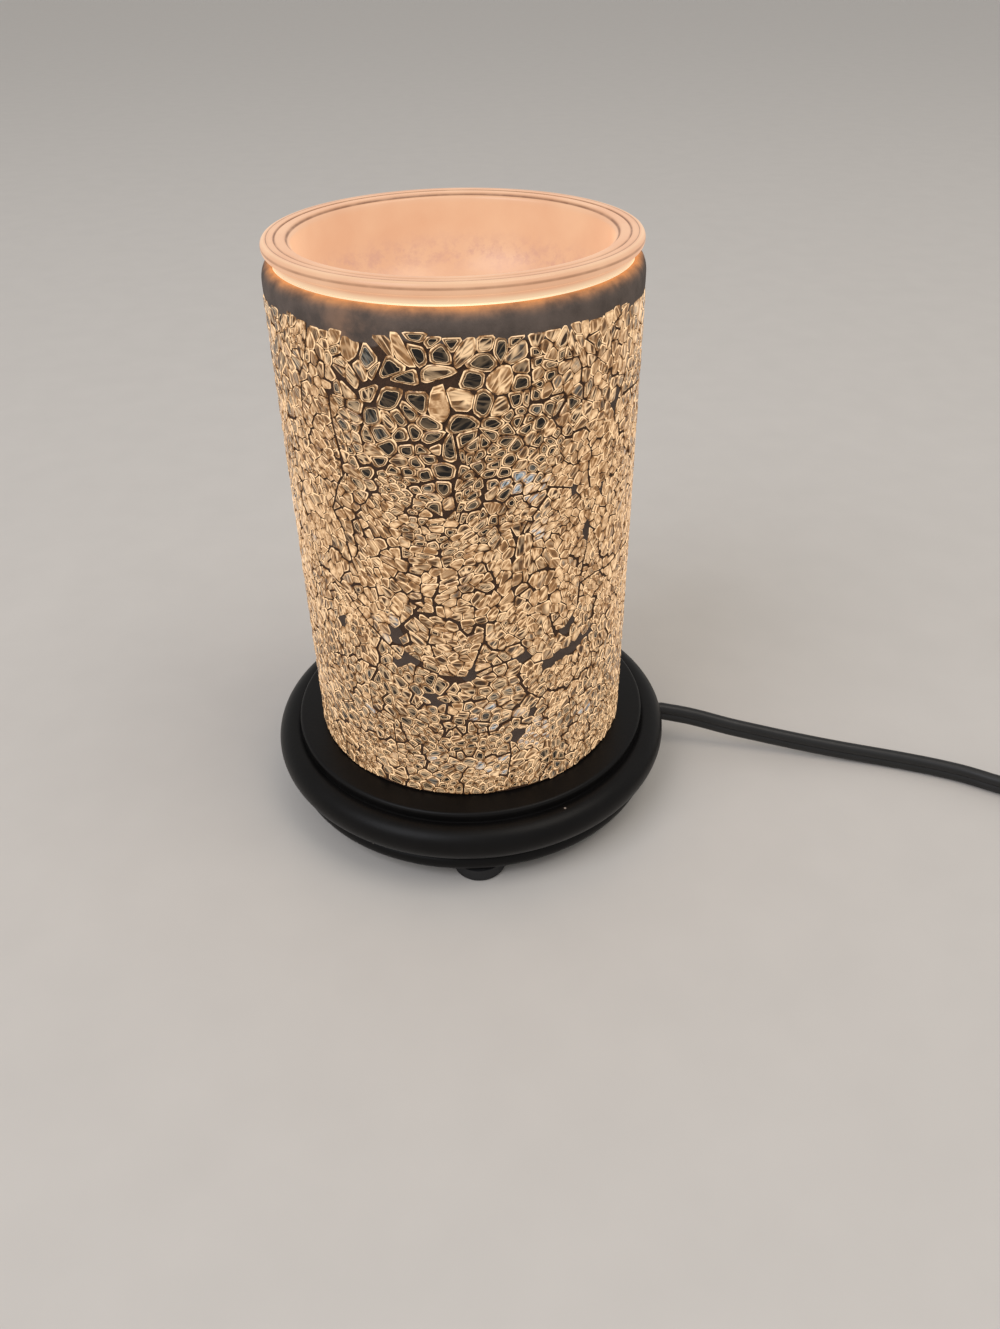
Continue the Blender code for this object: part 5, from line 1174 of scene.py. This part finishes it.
def fragment_mesh(name, rng, seeds, owner, lay, corners, real):
    """Closed glass chips: foot, wall, a broken bevel and a flat top, tilted a little each its own way.

    Each corner of an outline is cut off, a little more in the clear windows. Ring 0 is the outline at the
    foot, ring 1 the outline under the bevel and ring 2 the top: the outline drawn in towards its middle by
    the bevel's width over the chip's mean half width. The top is a fan round its middle. The red of "cell"
    is 2, 1 and 0 on the rings, and falls by 1 a millimetre in the fan.
    """
    sides = real.sum(1)
    flat = corners[real]
    starts, follow = rounds(sides)
    before = np.empty_like(follow)
    before[follow] = np.arange(len(flat))
    clear = openness(seeds[:, 0], seeds[:, 1])
    blunt = np.repeat(0.12 + 0.06 * clear, sides)[:, None]
    cuts = [flat + blunt * (flat[beside] - flat) for beside in (before, follow)]
    flat = np.stack(cuts, 1).reshape(-1, 2)
    count = 2 * sides
    starts, follow = rounds(count)
    chip = np.repeat(np.arange(len(count)), count)
    middle = np.stack([np.bincount(chip, flat[:, k]) for k in (0, 1)], 1) / count[:, None]
    out = flat - middle[chip]
    side = flat[follow] - flat
    run = np.maximum(np.linalg.norm(side, axis=1), 1e-6)
    apothem = np.abs(out[:, 0] * side[:, 1] - out[:, 1] * side[:, 0]) / run
    mean = np.bincount(chip, apothem) / count
    drawn_in = np.clip(1 - sizes().bevel / MM * (0.7 + 0.35 * mean) / mean, 0.4, 0.88)
    top = seeds + middle
    height = FRAGMENT_OUTER - rng.uniform(0.0, 0.25, len(count))
    tilt = rng.normal(0, 0.06, (len(count), 2))
    rings, grains = [], []
    # Each sheet's fine cracks fan out from a place beside it
    away = np.random.default_rng(7).uniform(7.0, 26.0, MOST_SHEETS)[owner]
    cos_way, sin_way = np.cos(lay[chip, 2]), np.sin(lay[chip, 2])
    for shrink, drop in ((np.ones(len(count)), None), (np.ones(len(count)), BEVEL_DROP), (drawn_in, 0.0)):
        from_middle = out * shrink[chip][:, None]
        place = top[chip] + from_middle
        if drop is None:
            radius = np.full(len(flat), FRAGMENT_INNER)
        else:
            radius = np.minimum(height[chip] - drop + (from_middle * tilt[chip]).sum(1), FRAGMENT_OUTER)
        rings.append(on_shade(place[:, 0], place[:, 1], radius))
        in_sheet = lay[chip, :2] + middle[chip] + from_middle
        along = in_sheet[:, 0] * cos_way + in_sheet[:, 1] * sin_way + away[chip]
        aside = in_sheet[:, 1] * cos_way - in_sheet[:, 0] * sin_way
        grains.append(np.stack([np.hypot(along, aside), np.arctan2(aside, along) * away[chip]], 1))
    rings.append(on_shade(top[:, 0], top[:, 1], height))
    grains.append(np.stack([np.bincount(chip, grains[2][:, k]) for k in (0, 1)], 1) / count[:, None])
    # Every sheet reads its fine cracks from another part of the pattern
    lot = np.concatenate([np.tile(owner[chip], 3), owner])
    grains = np.concatenate(grains) / SLIVER + np.stack([7.7 * (lot % 53), 0.0 * lot], 1)
    total = len(flat)
    here = np.arange(total)
    wall = np.stack([here, follow, total + follow, total + here], 1)
    fan = np.stack([2 * total + here, 2 * total + follow, 3 * total + chip], 1)
    backwards = np.repeat(starts + count - 1, count) - (here - np.repeat(starts, count))
    mesh = fill_mesh(name, np.concatenate(rings), wall, total + wall, fan, (backwards, starts))
    mesh.shade_flat()
    depth = np.concatenate([np.repeat([2.0, 1.0, 0.0], total), -mean * drawn_in])
    faces = chip_light(rng, owner, top, clear)
    faces = np.concatenate([np.tile(faces[chip], (3, 1)), faces])
    attribute(mesh, "cell", np.concatenate([depth[:, None], faces], 1))
    grain = mesh.attributes.new("grain", "FLOAT_VECTOR", "POINT")
    grain.data.foreach_set("vector", np.pad(grains, ((0, 0), (0, 1))).astype(np.float32).ravel())
    return mesh


# The operators


class WARMER_OT_stage(Operator):
    """Sets up the camera of the photograph, a plain floor and soft light"""

    bl_idname = "warmer.stage"
    bl_label = "Stage"

    def execute(self, context):
        scene = context.scene
        view = bpy.data.cameras.new("camera")
        view.lens, view.sensor_width, view.sensor_fit = CAMERA_LENS, CAMERA_SENSOR, "AUTO"
        view.clip_start, view.clip_end = 0.01, 60.0
        camera = linked("camera", view)
        tilt = Matrix.Rotation(np.radians(CAMERA_TILT), 4, "X")
        roll = Matrix.Rotation(np.radians(CAMERA_ROLL), 4, "Z")
        camera.matrix_world = Matrix.Translation([v * MM for v in CAMERA_PLACE]) @ (tilt @ roll)
        scene.camera = camera
        scene.view_settings.view_transform = "Standard"

        table = grained("painted_table", colours().floor[:], (0.5, 0.62), 1.5, 0.0, mottle=0.015)
        corners = FLOOR_HALF * np.array([(-1, -1, 0), (1, -1, 0), (1, 1, 0), (-1, 1, 0)])
        floor = linked("floor", fill_mesh("floor", corners, np.array([[0, 1, 2, 3]])))
        floor.data.materials.append(table)

        world = bpy.data.worlds.new("room")
        scene.world = world
        world.use_nodes = True
        background = world.node_tree.nodes["Background"]
        wire(world.node_tree, background, {"Color": linear("#F4F1EE"), "Strength": 0.60})
        for name, place, size, power, tint in (
            ("window_light", (-0.9, -0.9, 1.5), 1.1, 12.0, "#F3F6FF"),
            ("ceiling_light", (0.7, -0.3, 1.6), 0.9, 6.5, "#FFF6EA"),
        ):
            lamp = bpy.data.lights.new(name, "AREA")
            lamp.size, lamp.energy, lamp.color = size, power, linear(tint)
            light = linked(name, lamp)
            aim = (Vector(place) - Vector(LIGHTS_AIM)).to_track_quat("Z", "Y")
            light.matrix_world = Matrix.Translation(place) @ aim.to_matrix().to_4x4()
        return {"FINISHED"}


class WARMER_OT_cords(Operator):
    """Lays the flat cord: from the base to the switch, and from the switch through its coil to the plug"""

    bl_idname = "warmer.cords"
    bl_label = "Cords"

    def execute(self, context):
        vinyl = grained("extruded_vinyl_cord", colours().vinyl[:], (0.34, 0.52), 0.7, 0.02, mottle=0.3)
        stored = stored_line()
        switch = ["switch_base", "switch_cover", "switch_screw", "switch_contact_left"]
        switch += ["switch_contact_right", "thumb_roller"]
        coiled = ["cord_link", "cord_coil", "cord_tail"]
        plug = ["cord_strap", "moulded_plug", "plug_blade_front", "plug_blade_back"]
        for name, line, start, far_end, lay, nodes, goes_with in (
            ("flat_cord_lead", lead_line(), on_exit(BUSH_END), "fitting", "loose", ["cord_lead"], switch),
            ("flat_cord_stored", stored, stored[0], "plug", "coiled", coiled, plug),
        ):
            made = piece(cord_mesh(name, line), "root", vinyl, nodes)
        return {"FINISHED"}


class WARMER_OT_base(Operator):
    """Turns the painted wooden base: lip, undercut, bead, groove and the ledge round the shade"""

    bl_idname = "warmer.base"
    bl_label = "Base"

    def execute(self, context):
        profile = [(51.3, 4.6), (51.6, 4.6)] + arc((54.1, 7.0), 2.4, -90, 90, 14)
        profile += [(53.8, 9.5), (53.6, 9.9), (53.6, 10.5)] + arc((54.9, 15.7), 5.1, -104.8, 110.0, 40)
        profile += [(53.0, 20.75), (53.0, 21.1)] + arc((52.0, 22.5), 1.0, 0, 90, 8)
        profile += [(43.2, 23.5), (COAT_INNER, 23.3), (COAT_INNER, 20.0)]
        profile += [(7.8, 20.0), (7.8, 17.0), (49.5, 17.0), (49.5, 7.0), (51.3, 7.0)]
        ways = []
        for name, radius, start in (("bore", 4.5, BUSH_START), ("pocket", 5.7, 53.9)):
            bar = rod(name, radius, start, 64.0)
            bar.transform(exit_frame())
            ways.append((bar, "DIFFERENCE"))
        base = carved(turned("turned_base", profile), ways)
        piece(base, "root", painted_wood(), ["base_body"])
        return {"FINISHED"}


class WARMER_OT_bush(Operator):
    """Moulds the bush that holds the cord in the base's wall"""

    bl_idname = "warmer.bush"
    bl_label = "Cord bush"

    def execute(self, context):
        sleeve, flange, seat = 4.2, 5.4, 54.2
        profile = [(0, BUSH_START), (sleeve - 0.3, BUSH_START), (sleeve, BUSH_START + 0.3), (sleeve, seat)]
        profile += [(flange, seat)] + arc((flange - 0.5, seat + 0.9), 0.5, 0, 90, 5)
        profile += [(sleeve + 0.25, seat + 1.4)]
        profile += arc((sleeve - 0.6, BUSH_END - 0.6), 0.6, 0, 90, 6) + [(0, BUSH_END)]
        bush = turned("moulded_bush", profile, SMALL_TURN)
        bush.transform(exit_frame())
        bush = carved(bush, [(cord_way(on_exit(45.0), on_exit(60.0)), "DIFFERENCE")])
        piece(bush, "root", slot_finish("nylon"), ["cord_bush"])
        return {"FINISHED"}


class WARMER_OT_feet(Operator):
    """Moulds the four rubber feet"""

    bl_idname = "warmer.feet"
    bl_label = "Feet"

    def execute(self, context):
        rubber = slot_finish("rubber")
        profile = [(0, 0)] + arc((6.6, 0.9), 0.9, -90, 0, 7) + [(7.5, 4.3), (0, 4.3)]
        for side in ("front", "right", "back", "left"):
            x, y = np.mean(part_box("foot_" + side), axis=0)[:2] / MM
            foot = shifted(turned("rubber_foot_" + side, profile, SMALL_TURN), (x, y, 0))
            piece(foot, "root", rubber, ["foot_" + side])
        return {"FINISHED"}


class WARMER_OT_switch(Operator):
    """Moulds the switch on the cord: two shells with ribbed ends, and the roller between them"""

    bl_idname = "warmer.switch"
    bl_label = "Switch"

    def body(self, name, wall, reach, power, ribbed):
        """The switch's form, less a wall: a rounded middle that narrows to collars round the cord.

        The half width is the sixth-power mean of the collar's and of 9 (1 - |x / 25|^2.6)^(1 / 2.6), and the
        half height is one of sixth powers too. The ribs at both ends are waves.
        """
        share = np.linspace(-1, 1, 141)
        wide = SWITCH_HALF_WIDTH * (1 - np.abs(share) ** 2.6) ** (1 / 2.6)
        high = SWITCH_CENTRE[2] * (1 - np.abs(share) ** 6) ** (1 / 6)
        wide = (wide**6 + COLLAR_HALF_WIDTH**6) ** (1 / 6)
        high = np.minimum((high**6 + COLLAR_HALF_HEIGHT**6) ** (1 / 6), SWITCH_CENTRE[2])
        place = SWITCH_HALF_LENGTH * share
        rib = 0.35 * ribbed * waves(np.abs(place) - 18.6, 1.9, 3)
        form = lofted(name, place * reach, wide - wall - rib, high - wall - rib, power)
        return shifted(form, SWITCH_CENTRE)

    def execute(self, context):
        x, y, z = SWITCH_CENTRE
        vinyl = moulded_vinyl()
        seam, roller_low, roller_high, roof = 0.05, 3.7, 8.3, 10.4
        at = {"post": (x + SWITCH_SCREW_X, y), "axle": (x, y + ROLLER_OFFSET)}
        far = SWITCH_HALF_LENGTH + 5
        for name, other_half, node, rods in (
            ("switch_base", (z - seam, 2 * z), "switch_lower_shell", (
                ("post", 3.4, 0.8, z - seam, "UNION"),
                ("axle", 2.6, 0.8, roller_low, "UNION"),
                ("axle", 1.2, 0.8, 9.5, "UNION"),
                ("post", 1.7, -0.3, z + 0.3, "DIFFERENCE"),
                ("post", 2.5, -0.3, 1.8, "DIFFERENCE"),
            )),
            ("switch_cover", (-z, z + seam), "switch_upper_shell", (
                ("post", 3.4, z + seam, roof + 0.8, "UNION"),
                ("axle", 2.6, roller_high, roof + 0.8, "UNION"),
                ("axle", 1.5, roller_high - 0.3, roller_high + 1.5, "DIFFERENCE"),
                ("post", 1.7, z - 0.3, roof - 0.3, "DIFFERENCE"),
            )),
        ):
            low, high = other_half
            cut_off = block("other_half", (x - far, y - far, low), (x + far, y + far, high))
            room = self.body("room", SWITCH_WALL, 0.86, 4.5, 0)
            roller_way = rod("roller_way", ROLLER_RADIUS + 0.6, roller_low, roller_high, at["axle"])
            tools = [cut_off, room, roller_way]
            for side in (-1, 1):
                tools.append(cord_way(*((x + side * (SWITCH_HALF_LENGTH + out), y, z) for out in (-6, 2))))
            steps = [(tool, "DIFFERENCE") for tool in tools]
            for kind, radius, low, high, step in rods:
                steps.append((rod("rod", radius, low, high, at[kind]), step))
            if name == "switch_cover":
                recess = turned("recess", [(0, 0), (1, 0), (1.04, 2.0), (0, 2.0)], SMALL_TURN)
                recess.transform(Matrix.Diagonal((10.0, 4.6, 1.0, 1.0)))
                steps.append((shifted(recess, (x, y, 2 * z - 0.35)), "DIFFERENCE"))
            piece(carved(self.body(name, 0.0, 1.0, 3.2, 1), steps), "root", vinyl, [node])

        # The roller's rim has thumb notches: its radius falls by a squared half wave at each
        half = 2.0
        profile = [(1.35, -half), (2.6, -half), (2.9, 0.35 - half), (5.6, 0.35 - half)]
        profile += [(5.9, -half), (6.9, -half), (7.35, 0.25 - half), (ROLLER_RADIUS, 0.6 - half)]
        profile += [(radius, -height) for radius, height in reversed(profile)]
        roller = turned("thumb_roller", profile, 12 * ROLLER_NOTCHES, None)
        points = points_of(roller)
        radius, turn = np.hypot(points[:, 0], points[:, 1]), np.arctan2(points[:, 1], points[:, 0])
        notch = 0.55 * (0.5 + 0.5 * np.cos(ROLLER_NOTCHES * turn)) ** 2 * np.clip((radius - 5.9) / 1.4, 0, 1)
        points[:, :2] *= (1 - notch / radius)[:, None]
        roller.vertices.foreach_set("co", (points * MM).ravel())
        roller.shade_smooth()
        roller.set_sharp_from_angle(angle=np.radians(40))
        piece(shifted(roller, (*at["axle"], z)), "roller", vinyl, ["switch_roller"])
        return {"FINISHED"}


class WARMER_OT_plug(Operator):
    """Moulds the plug on the cord's end, and the strap round the coil"""

    bl_idname = "warmer.plug"
    bl_label = "Plug and strap"

    def execute(self, context):
        vinyl = moulded_vinyl()
        # Half width and height grow from the ribbed neck to the face, with a dip where fingers grip
        back = np.linspace(0, PLUG_LENGTH, 116)
        grow = np.clip((back - 5.0) / 9.0, 0, 1)
        grow = grow**2 * (3 - 2 * grow)
        grip = 0.9 * np.exp(-(((back - 17.0) / 2.4) ** 2))
        rounded_face = 0.9 * (1.0 - np.sqrt(1 - np.clip((back - PLUG_LENGTH + 1.0) / 1.0, 0, 1) ** 2))
        less = 0.45 * waves(back - 0.8, 1.5, 3) + rounded_face + 0.5 * np.clip(1 - back / 0.5, 0, 1) ** 2
        wide, high = 5.0 + 5.5 * grow - grip - less, 4.4 + 2.1 * grow - less
        body = lofted("moulded_plug", PLUG_END - back, wide, high, 3.0)
        body = shifted(body, (0.0, PLUG_LINE, PLUG_MIDDLE))
        face = PLUG_END - PLUG_LENGTH
        tools = [cord_way(*((PLUG_END + out, PLUG_LINE, PLUG_MIDDLE) for out in (-CORD_GRIP - 0.1, 2.0)))]
        for blade in (PLUG_LINE - BLADE_OFFSET, PLUG_LINE + BLADE_OFFSET):
            low = (face - 0.5, blade - 0.9, PLUG_MIDDLE - 3.4)
            tools.append(block("pocket", low, (face + 3.1, blade + 0.9, PLUG_MIDDLE + 3.4)))
        body = carved(body, [(tool, "DIFFERENCE") for tool in tools])
        piece(body, "root", vinyl, ["plug_body"])

        # The strap: a flat strip with soft edges, carried round a rounded box that holds the strands
        line = np.array(rounded_oblong(25.85, 43.6, 0.7, 13.4, 1.7, 9))
        out = np.radians([np.linspace(start, start + 90, 9) for start in (-90, 0, 90, 180)]).reshape(-1, 1)
        lift = np.array((0.0, 0.0, 0.12, 0.5, 0.6, 0.6, 0.5, 0.12))
        aside = np.array((-2.05, 2.05, 2.25, 2.25, 2.05, -2.05, -2.25, -2.25))
        radial, height = line[:, :1] + lift * np.cos(out), line[:, 1:] + lift * np.sin(out)
        c, s = np.cos(TIE_TURN), np.sin(TIE_TURN)
        x, y = COIL_CENTRE[0] + radial * c - aside * s, COIL_CENTRE[1] + radial * s + aside * c
        points = np.stack([x, y, height], -1).reshape(-1, 3)
        strap = tidy_mesh(fill_mesh("cord_strap", points, ring_faces(len(line), 8)), 40)
        piece(strap, "root", vinyl, ["coil_tie"])
        return {"FINISHED"}


class WARMER_OT_grout(Operator):
    """Spreads the grout: a bed under the mosaic, the band above it and the bare patches in it"""

    bl_idname = "warmer.grout"
    bl_label = "Grout"

    def coat(self):
        """The coat's points and tones: rows of radius and height, with how grey and how lit each is."""
        turn = np.arange(COAT_STEPS) * 2 * np.pi / COAT_STEPS
        lumps = 0.06 * (np.sin(23 * turn + 0.4) + np.sin(37 * turn + 1.9) + 0.7 * np.sin(61 * turn))
        edge = band_edge(turn)
        rows = [(COAT_INNER, COAT_FOOT, 0, 1)]
        for share in np.linspace(0, 1, 30):
            height = COAT_FOOT + (edge - 3.0 - COAT_FOOT) * share
            rows.append((BED_RADIUS + 0.05 * np.sin(41 * turn + 9 * share), height, 0, 0))
        rows += [
            (BED_RADIUS + 0.1, edge - 2.2, 0, 0),
            (BED_RADIUS + 0.2, edge - 1.7, 1, 0),
            (BAND_RADIUS - 0.12 + lumps * 0.4, edge - 0.1, 1, 0),
            (BAND_RADIUS + lumps * 0.5 * np.sin(3 * turn) ** 2, edge + 0.45, 1, 0),
        ]
        shoulder = SHADE_TOP - BAND_SHOULDER
        for share in (0.3, 0.6, 1.0):
            height = edge + 0.45 + (shoulder - edge - 0.45) * share
            rows.append((BAND_RADIUS + lumps * 0.5 * (1 - share), height, 1, 0))
        # The shoulder rounds off to the glass; from 15 degrees up, the coat thins and gets painted lamp light
        for a in np.radians(np.linspace(9, 90, 10)):
            reach = BAND_RADIUS - COAT_INNER - 0.3
            thin = max(0.0, (np.degrees(a) - 15) / 75)
            radius, height = BAND_RADIUS - reach * (1 - np.cos(a)), shoulder + BAND_SHOULDER * np.sin(a)
            rows.append((radius, height, 1, 0.75 * thin + 0.25 * thin**4))
        rows.append((COAT_INNER, SHADE_TOP, 1, 1))
        radius, height, grey, lit = (
            np.stack([np.broadcast_to(row[k], COAT_STEPS) for row in rows]) for k in range(4))
        # The coat is thin at the left, where it was wiped off, and painted lamp light comes through it
        wiped = sum(much * bell(np.degrees(turn), middle, wide) for much, middle, wide in WIPED_PLACES)
        points = np.stack([radius * np.cos(turn), radius * np.sin(turn), height], -1)
        return points.reshape(-1, 3), np.stack([grey, np.maximum(lit, grey * wiped)], -1).reshape(-1, 2)

    def patches(self):
        """Each bare patch's points: its outline, with a margin under the glass, as a foot and two top rings.

        A patch is laid in short lengths, so that each stays on the round shade.
        """
        a = np.arange(PATCH_ROUND) * 2 * np.pi / PATCH_ROUND
        for start, end, width in BARE_PATCHES:
            line = unrolled([start, end])
            way = line[1] - line[0]
            lean = np.arctan2(way[1], way[0])
            out = (width + PATCH_MARGIN) * np.stack([np.cos(a + lean), np.sin(a + lean)], -1)
            lengths = int(np.ceil(np.hypot(*way) / PATCH_LENGTH))
            for part in range(lengths):
                ends = line[0] + way * (part + (np.cos(a) > 0)[:, None]) / lengths
                for share, radius in ((1.0, PATCH_FOOT), (1.0, PATCH_FACE), (0.5, PATCH_FACE)):
                    across, up = (ends + share * out).T
                    yield on_shade(across, up, radius)

    def execute(self, context):
        points, tones = self.coat()
        faces = [ring_faces(len(points) // COAT_STEPS, COAT_STEPS)]
        rings = list(self.patches())
        for part in range(len(rings) // 3):
            used = len(points) + 3 * PATCH_ROUND * part
            faces += [used + group for group in tube_faces(3, PATCH_ROUND)]
        mesh = fill_mesh("grout_coat", np.concatenate([points, *rings]), *faces)
        tones = np.concatenate([tones, np.tile((PATCH_GREY, 0.0), (len(rings) * PATCH_ROUND, 1))])
        attribute(mesh, "coat", np.pad(tones, ((0, 0), (0, 1))))
        piece(tidy_mesh(mesh, 40), "root", lit_grout(), ["grout_bed"])
        return {"FINISHED"}


class WARMER_OT_mosaic(Operator):
    """Breaks tempered glass into sheets and fragments, and beds them in the grout"""

    bl_idname = "warmer.mosaic"
    bl_label = "Mosaic"

    def execute(self, context):
        rng = np.random.default_rng(11)
        made = fragments(rng)
        turn = made[0][:, 0] / FRAGMENT_OUTER
        front, right = np.sin(turn) < 0, np.cos(turn) > 0
        glass = crackled_glass()
        for name, part in (
            ("mosaic_front_left", front & ~right),
            ("mosaic_front_right", front & right),
            ("mosaic_back_left", ~front & ~right),
            ("mosaic_back_right", ~front & right),
        ):
            mesh = fragment_mesh(name, rng, *(rows[part] for rows in made))
            piece(mesh, "root", glass, ["mosaic"])
        return {"FINISHED"}


class WARMER_OT_shade_glass(Operator):
    """Draws the glass cylinder that carries the mosaic"""

    bl_idname = "warmer.shade_glass"
    bl_label = "Shade glass"

    def execute(self, context):
        profile = rounded_oblong(GLASS_INNER, GLASS_OUTER, SHADE_BOTTOM, SHADE_TOP, GLASS_SOFT, 4)
        glass = clear_glass("drawn_glass_lamp_glow", 0.04, 0.8, SHADE_TOP - GLASS_SOFT)
        piece(turned("glass_cylinder", profile), "root", glass, ["shade_glass"])
        return {"FINISHED"}


class WARMER_OT_dish(Operator):
    """Presses the frosted dish: bowl, skirt, collar and the ringed rim"""

    bl_idname = "warmer.dish"
    bl_label = "Dish"

    def execute(self, context):
        outside = [(0.0, 134.0), (12.0, 134.0)] + arc((20.0, 154.3), (20.5, 20.3), -90, 0, 28)
        outside += [(40.5, 157.0), (40.7, 157.3), (42.7, 157.3)] + arc((42.7, 157.6), 0.3, -60, 0, 4)
        outside += [(43.0, 158.6)] + arc((43.6, 158.6), 0.6, 180, 90, 5)
        rim = arc((43.9, 160.65), (1.0, 1.45), -90, 90, 18)
        rim += [(43.6, 162.1), (43.42, 162.05), (43.25, 162.1), (42.6, 162.1), (41.95, 162.08)]
        rim += [(41.75, 161.9), (41.6, 161.8), (41.4, 161.84), (41.15, 162.0), (40.4, 162.0)]
        rim += [(39.5, 161.98), (39.15, 161.85), (38.95, 161.5), (38.75, 161.32), (38.45, 161.26)]
        rim += [(38.2, 161.1), (38.0, 160.8), (37.85, 160.4), (37.8, 159.6), (37.8, 157.5)]
        inside = arc((20.0, 154.3), (17.8, 17.3), 0, -90, 30) + [(12.0, 137.0), (0.0, 137.0)]
        mesh = turned("pressed_dish", outside + rim + inside, FINE_TURN, 40)
        points = points_of(mesh)
        radius, height = np.hypot(points[:, 0], points[:, 1]), points[:, 2]
        # The neck's painted light shows at the collar, and a painted highlight lies on the rim's crown
        neck = np.clip((158.1 - height) / 0.5, 0, 1) * (radius > 40.0) * (height > 155)
        neck += 0.35 * bell(radius, 44.2, 0.35) * (height > 161.0)
        # Dark lines in the rim's grooves and under its outer roll: dirt and painted shade
        groove = 1.4 * bell(radius, 41.6, 0.2) + 1.1 * bell(radius, 38.85, 0.22)
        groove += 0.9 * bell(radius, 43.42, 0.12) * (height > 161.5)
        groove += 0.9 * bell(height, 160.9, 0.2) * (radius > 44.5)
        groove = np.clip(groove * (height > 160.3), 0, 1)
        film = 0.75 * bell(height, 147.6, 3.6) * ((radius < 37.9) & (height > 136.5))
        attribute(mesh, "tint", np.stack([neck, groove, film], 1))
        piece(mesh, "dish", frosted_dish(), ["dish"])
        return {"FINISHED"}


class WARMER_OT_lamp(Operator):
    """Makes the reflector lamp: the mirrored bowl, its front lens and the bright capsule in it"""

    bl_idname = "warmer.lamp"
    bl_label = "Lamp"

    def execute(self, context):
        share = np.linspace(0, 1, 22) ** 2
        bowl, height = 8.0 + 17.0 * np.sqrt(share), 58.2 + 30.7 * share
        profile = [(0, 53.2), (7.6, 53.2), (8.0, 53.6)] + list(zip(bowl, height))
        profile += [(25.0, 90.5), (24.9, 90.7), (24.4, 90.7), (24.3, 90.6), (24.3, 88.9)]
        profile += list(zip((bowl - 1.4)[:0:-1], height[:0:-1])) + [(5.2, 58.2), (5.2, 56.7), (0, 56.7)]
        mirror = grained("silvered_pressed_glass", linear("#D9D9DC"), (0.06, 0.16), 1.2, 0.02, 1.0, 0.06)
        piece(turned("reflector", profile, 96), "lamp", mirror, ["lamp_reflector"])
        lens = [(0, 89.2)] + arc((23.6, 89.6), 0.4, -90, 0, 4)
        lens += arc((23.6, 90.0), 0.4, 0, 90, 4) + [(0, 90.4)]
        glass = clear_glass("pressed_lens_glass", 0.12)
        piece(turned("lens", lens, 96), "lamp", glass, ["lamp_lens"])
        capsule = [(0, 57.0), (2.5, 57.0), (2.9, 61.2), (4.2, 65.4), (4.2, 73.8)]
        capsule += arc((0.0, 73.8), 4.2, 0, 90, 10)
        hot = clear_glass("capsule_glass", 0.1, 2.5)
        piece(turned("capsule", capsule, 48), "lamp", hot, ["lamp_capsule"])
        return {"FINISHED"}


class WARMER_OT_fittings(Operator):
    """Gives every CAD node that is carried over the finish of its material slot"""

    bl_idname = "warmer.fittings"
    bl_label = "Fittings"

    def execute(self, context):
        finishes = {}
        for part in frame["record"]["subparts"]:
            node = frame["nodes"][part["node"]]
            if node.hide_render:
                continue
            slot = part["material_slot"]
            if slot not in finishes:
                finishes[slot] = slot_finish(slot)
            node.data.materials.clear()
            node.data.materials.append(finishes[slot])
        return {"FINISHED"}


STEPS = (
    "stage", "switch", "plug", "cords", "base", "bush", "feet",
    "grout", "mosaic", "shade_glass", "dish", "lamp", "fittings",
)


class WARMER_PT_panel(Panel):
    """Lists the steps that build the warmer, and its sizes and colours"""

    bl_idname = "WARMER_PT_panel"
    bl_label = "Electric wax warmer"
    bl_space_type = "VIEW_3D"
    bl_region_type = "UI"
    bl_category = "Warmer"

    def draw(self, context):
        for step in STEPS:
            self.layout.operator("warmer." + step)
        for group in (sizes(), colours()):
            for name in group.__annotations__:
                self.layout.prop(group, name)


CLASSES = (
    WarmerSizes, WarmerColours, WARMER_OT_stage, WARMER_OT_switch, WARMER_OT_plug, WARMER_OT_cords,
    WARMER_OT_base, WARMER_OT_bush, WARMER_OT_feet, WARMER_OT_grout, WARMER_OT_mosaic,
    WARMER_OT_shade_glass, WARMER_OT_dish, WARMER_OT_lamp, WARMER_OT_fittings, WARMER_PT_panel,
)


def register():
    for item in CLASSES:
        bpy.utils.register_class(item)
    bpy.types.Scene.warmer_sizes = PointerProperty(type=WarmerSizes)
    bpy.types.Scene.warmer_colours = PointerProperty(type=WarmerColours)


def unregister():
    del bpy.types.Scene.warmer_colours
    del bpy.types.Scene.warmer_sizes
    for item in reversed(CLASSES):
        bpy.utils.unregister_class(item)


def main():
    register()
    for step in STEPS:
        getattr(bpy.ops.warmer, step)()


if __name__ == "__main__":
    main()
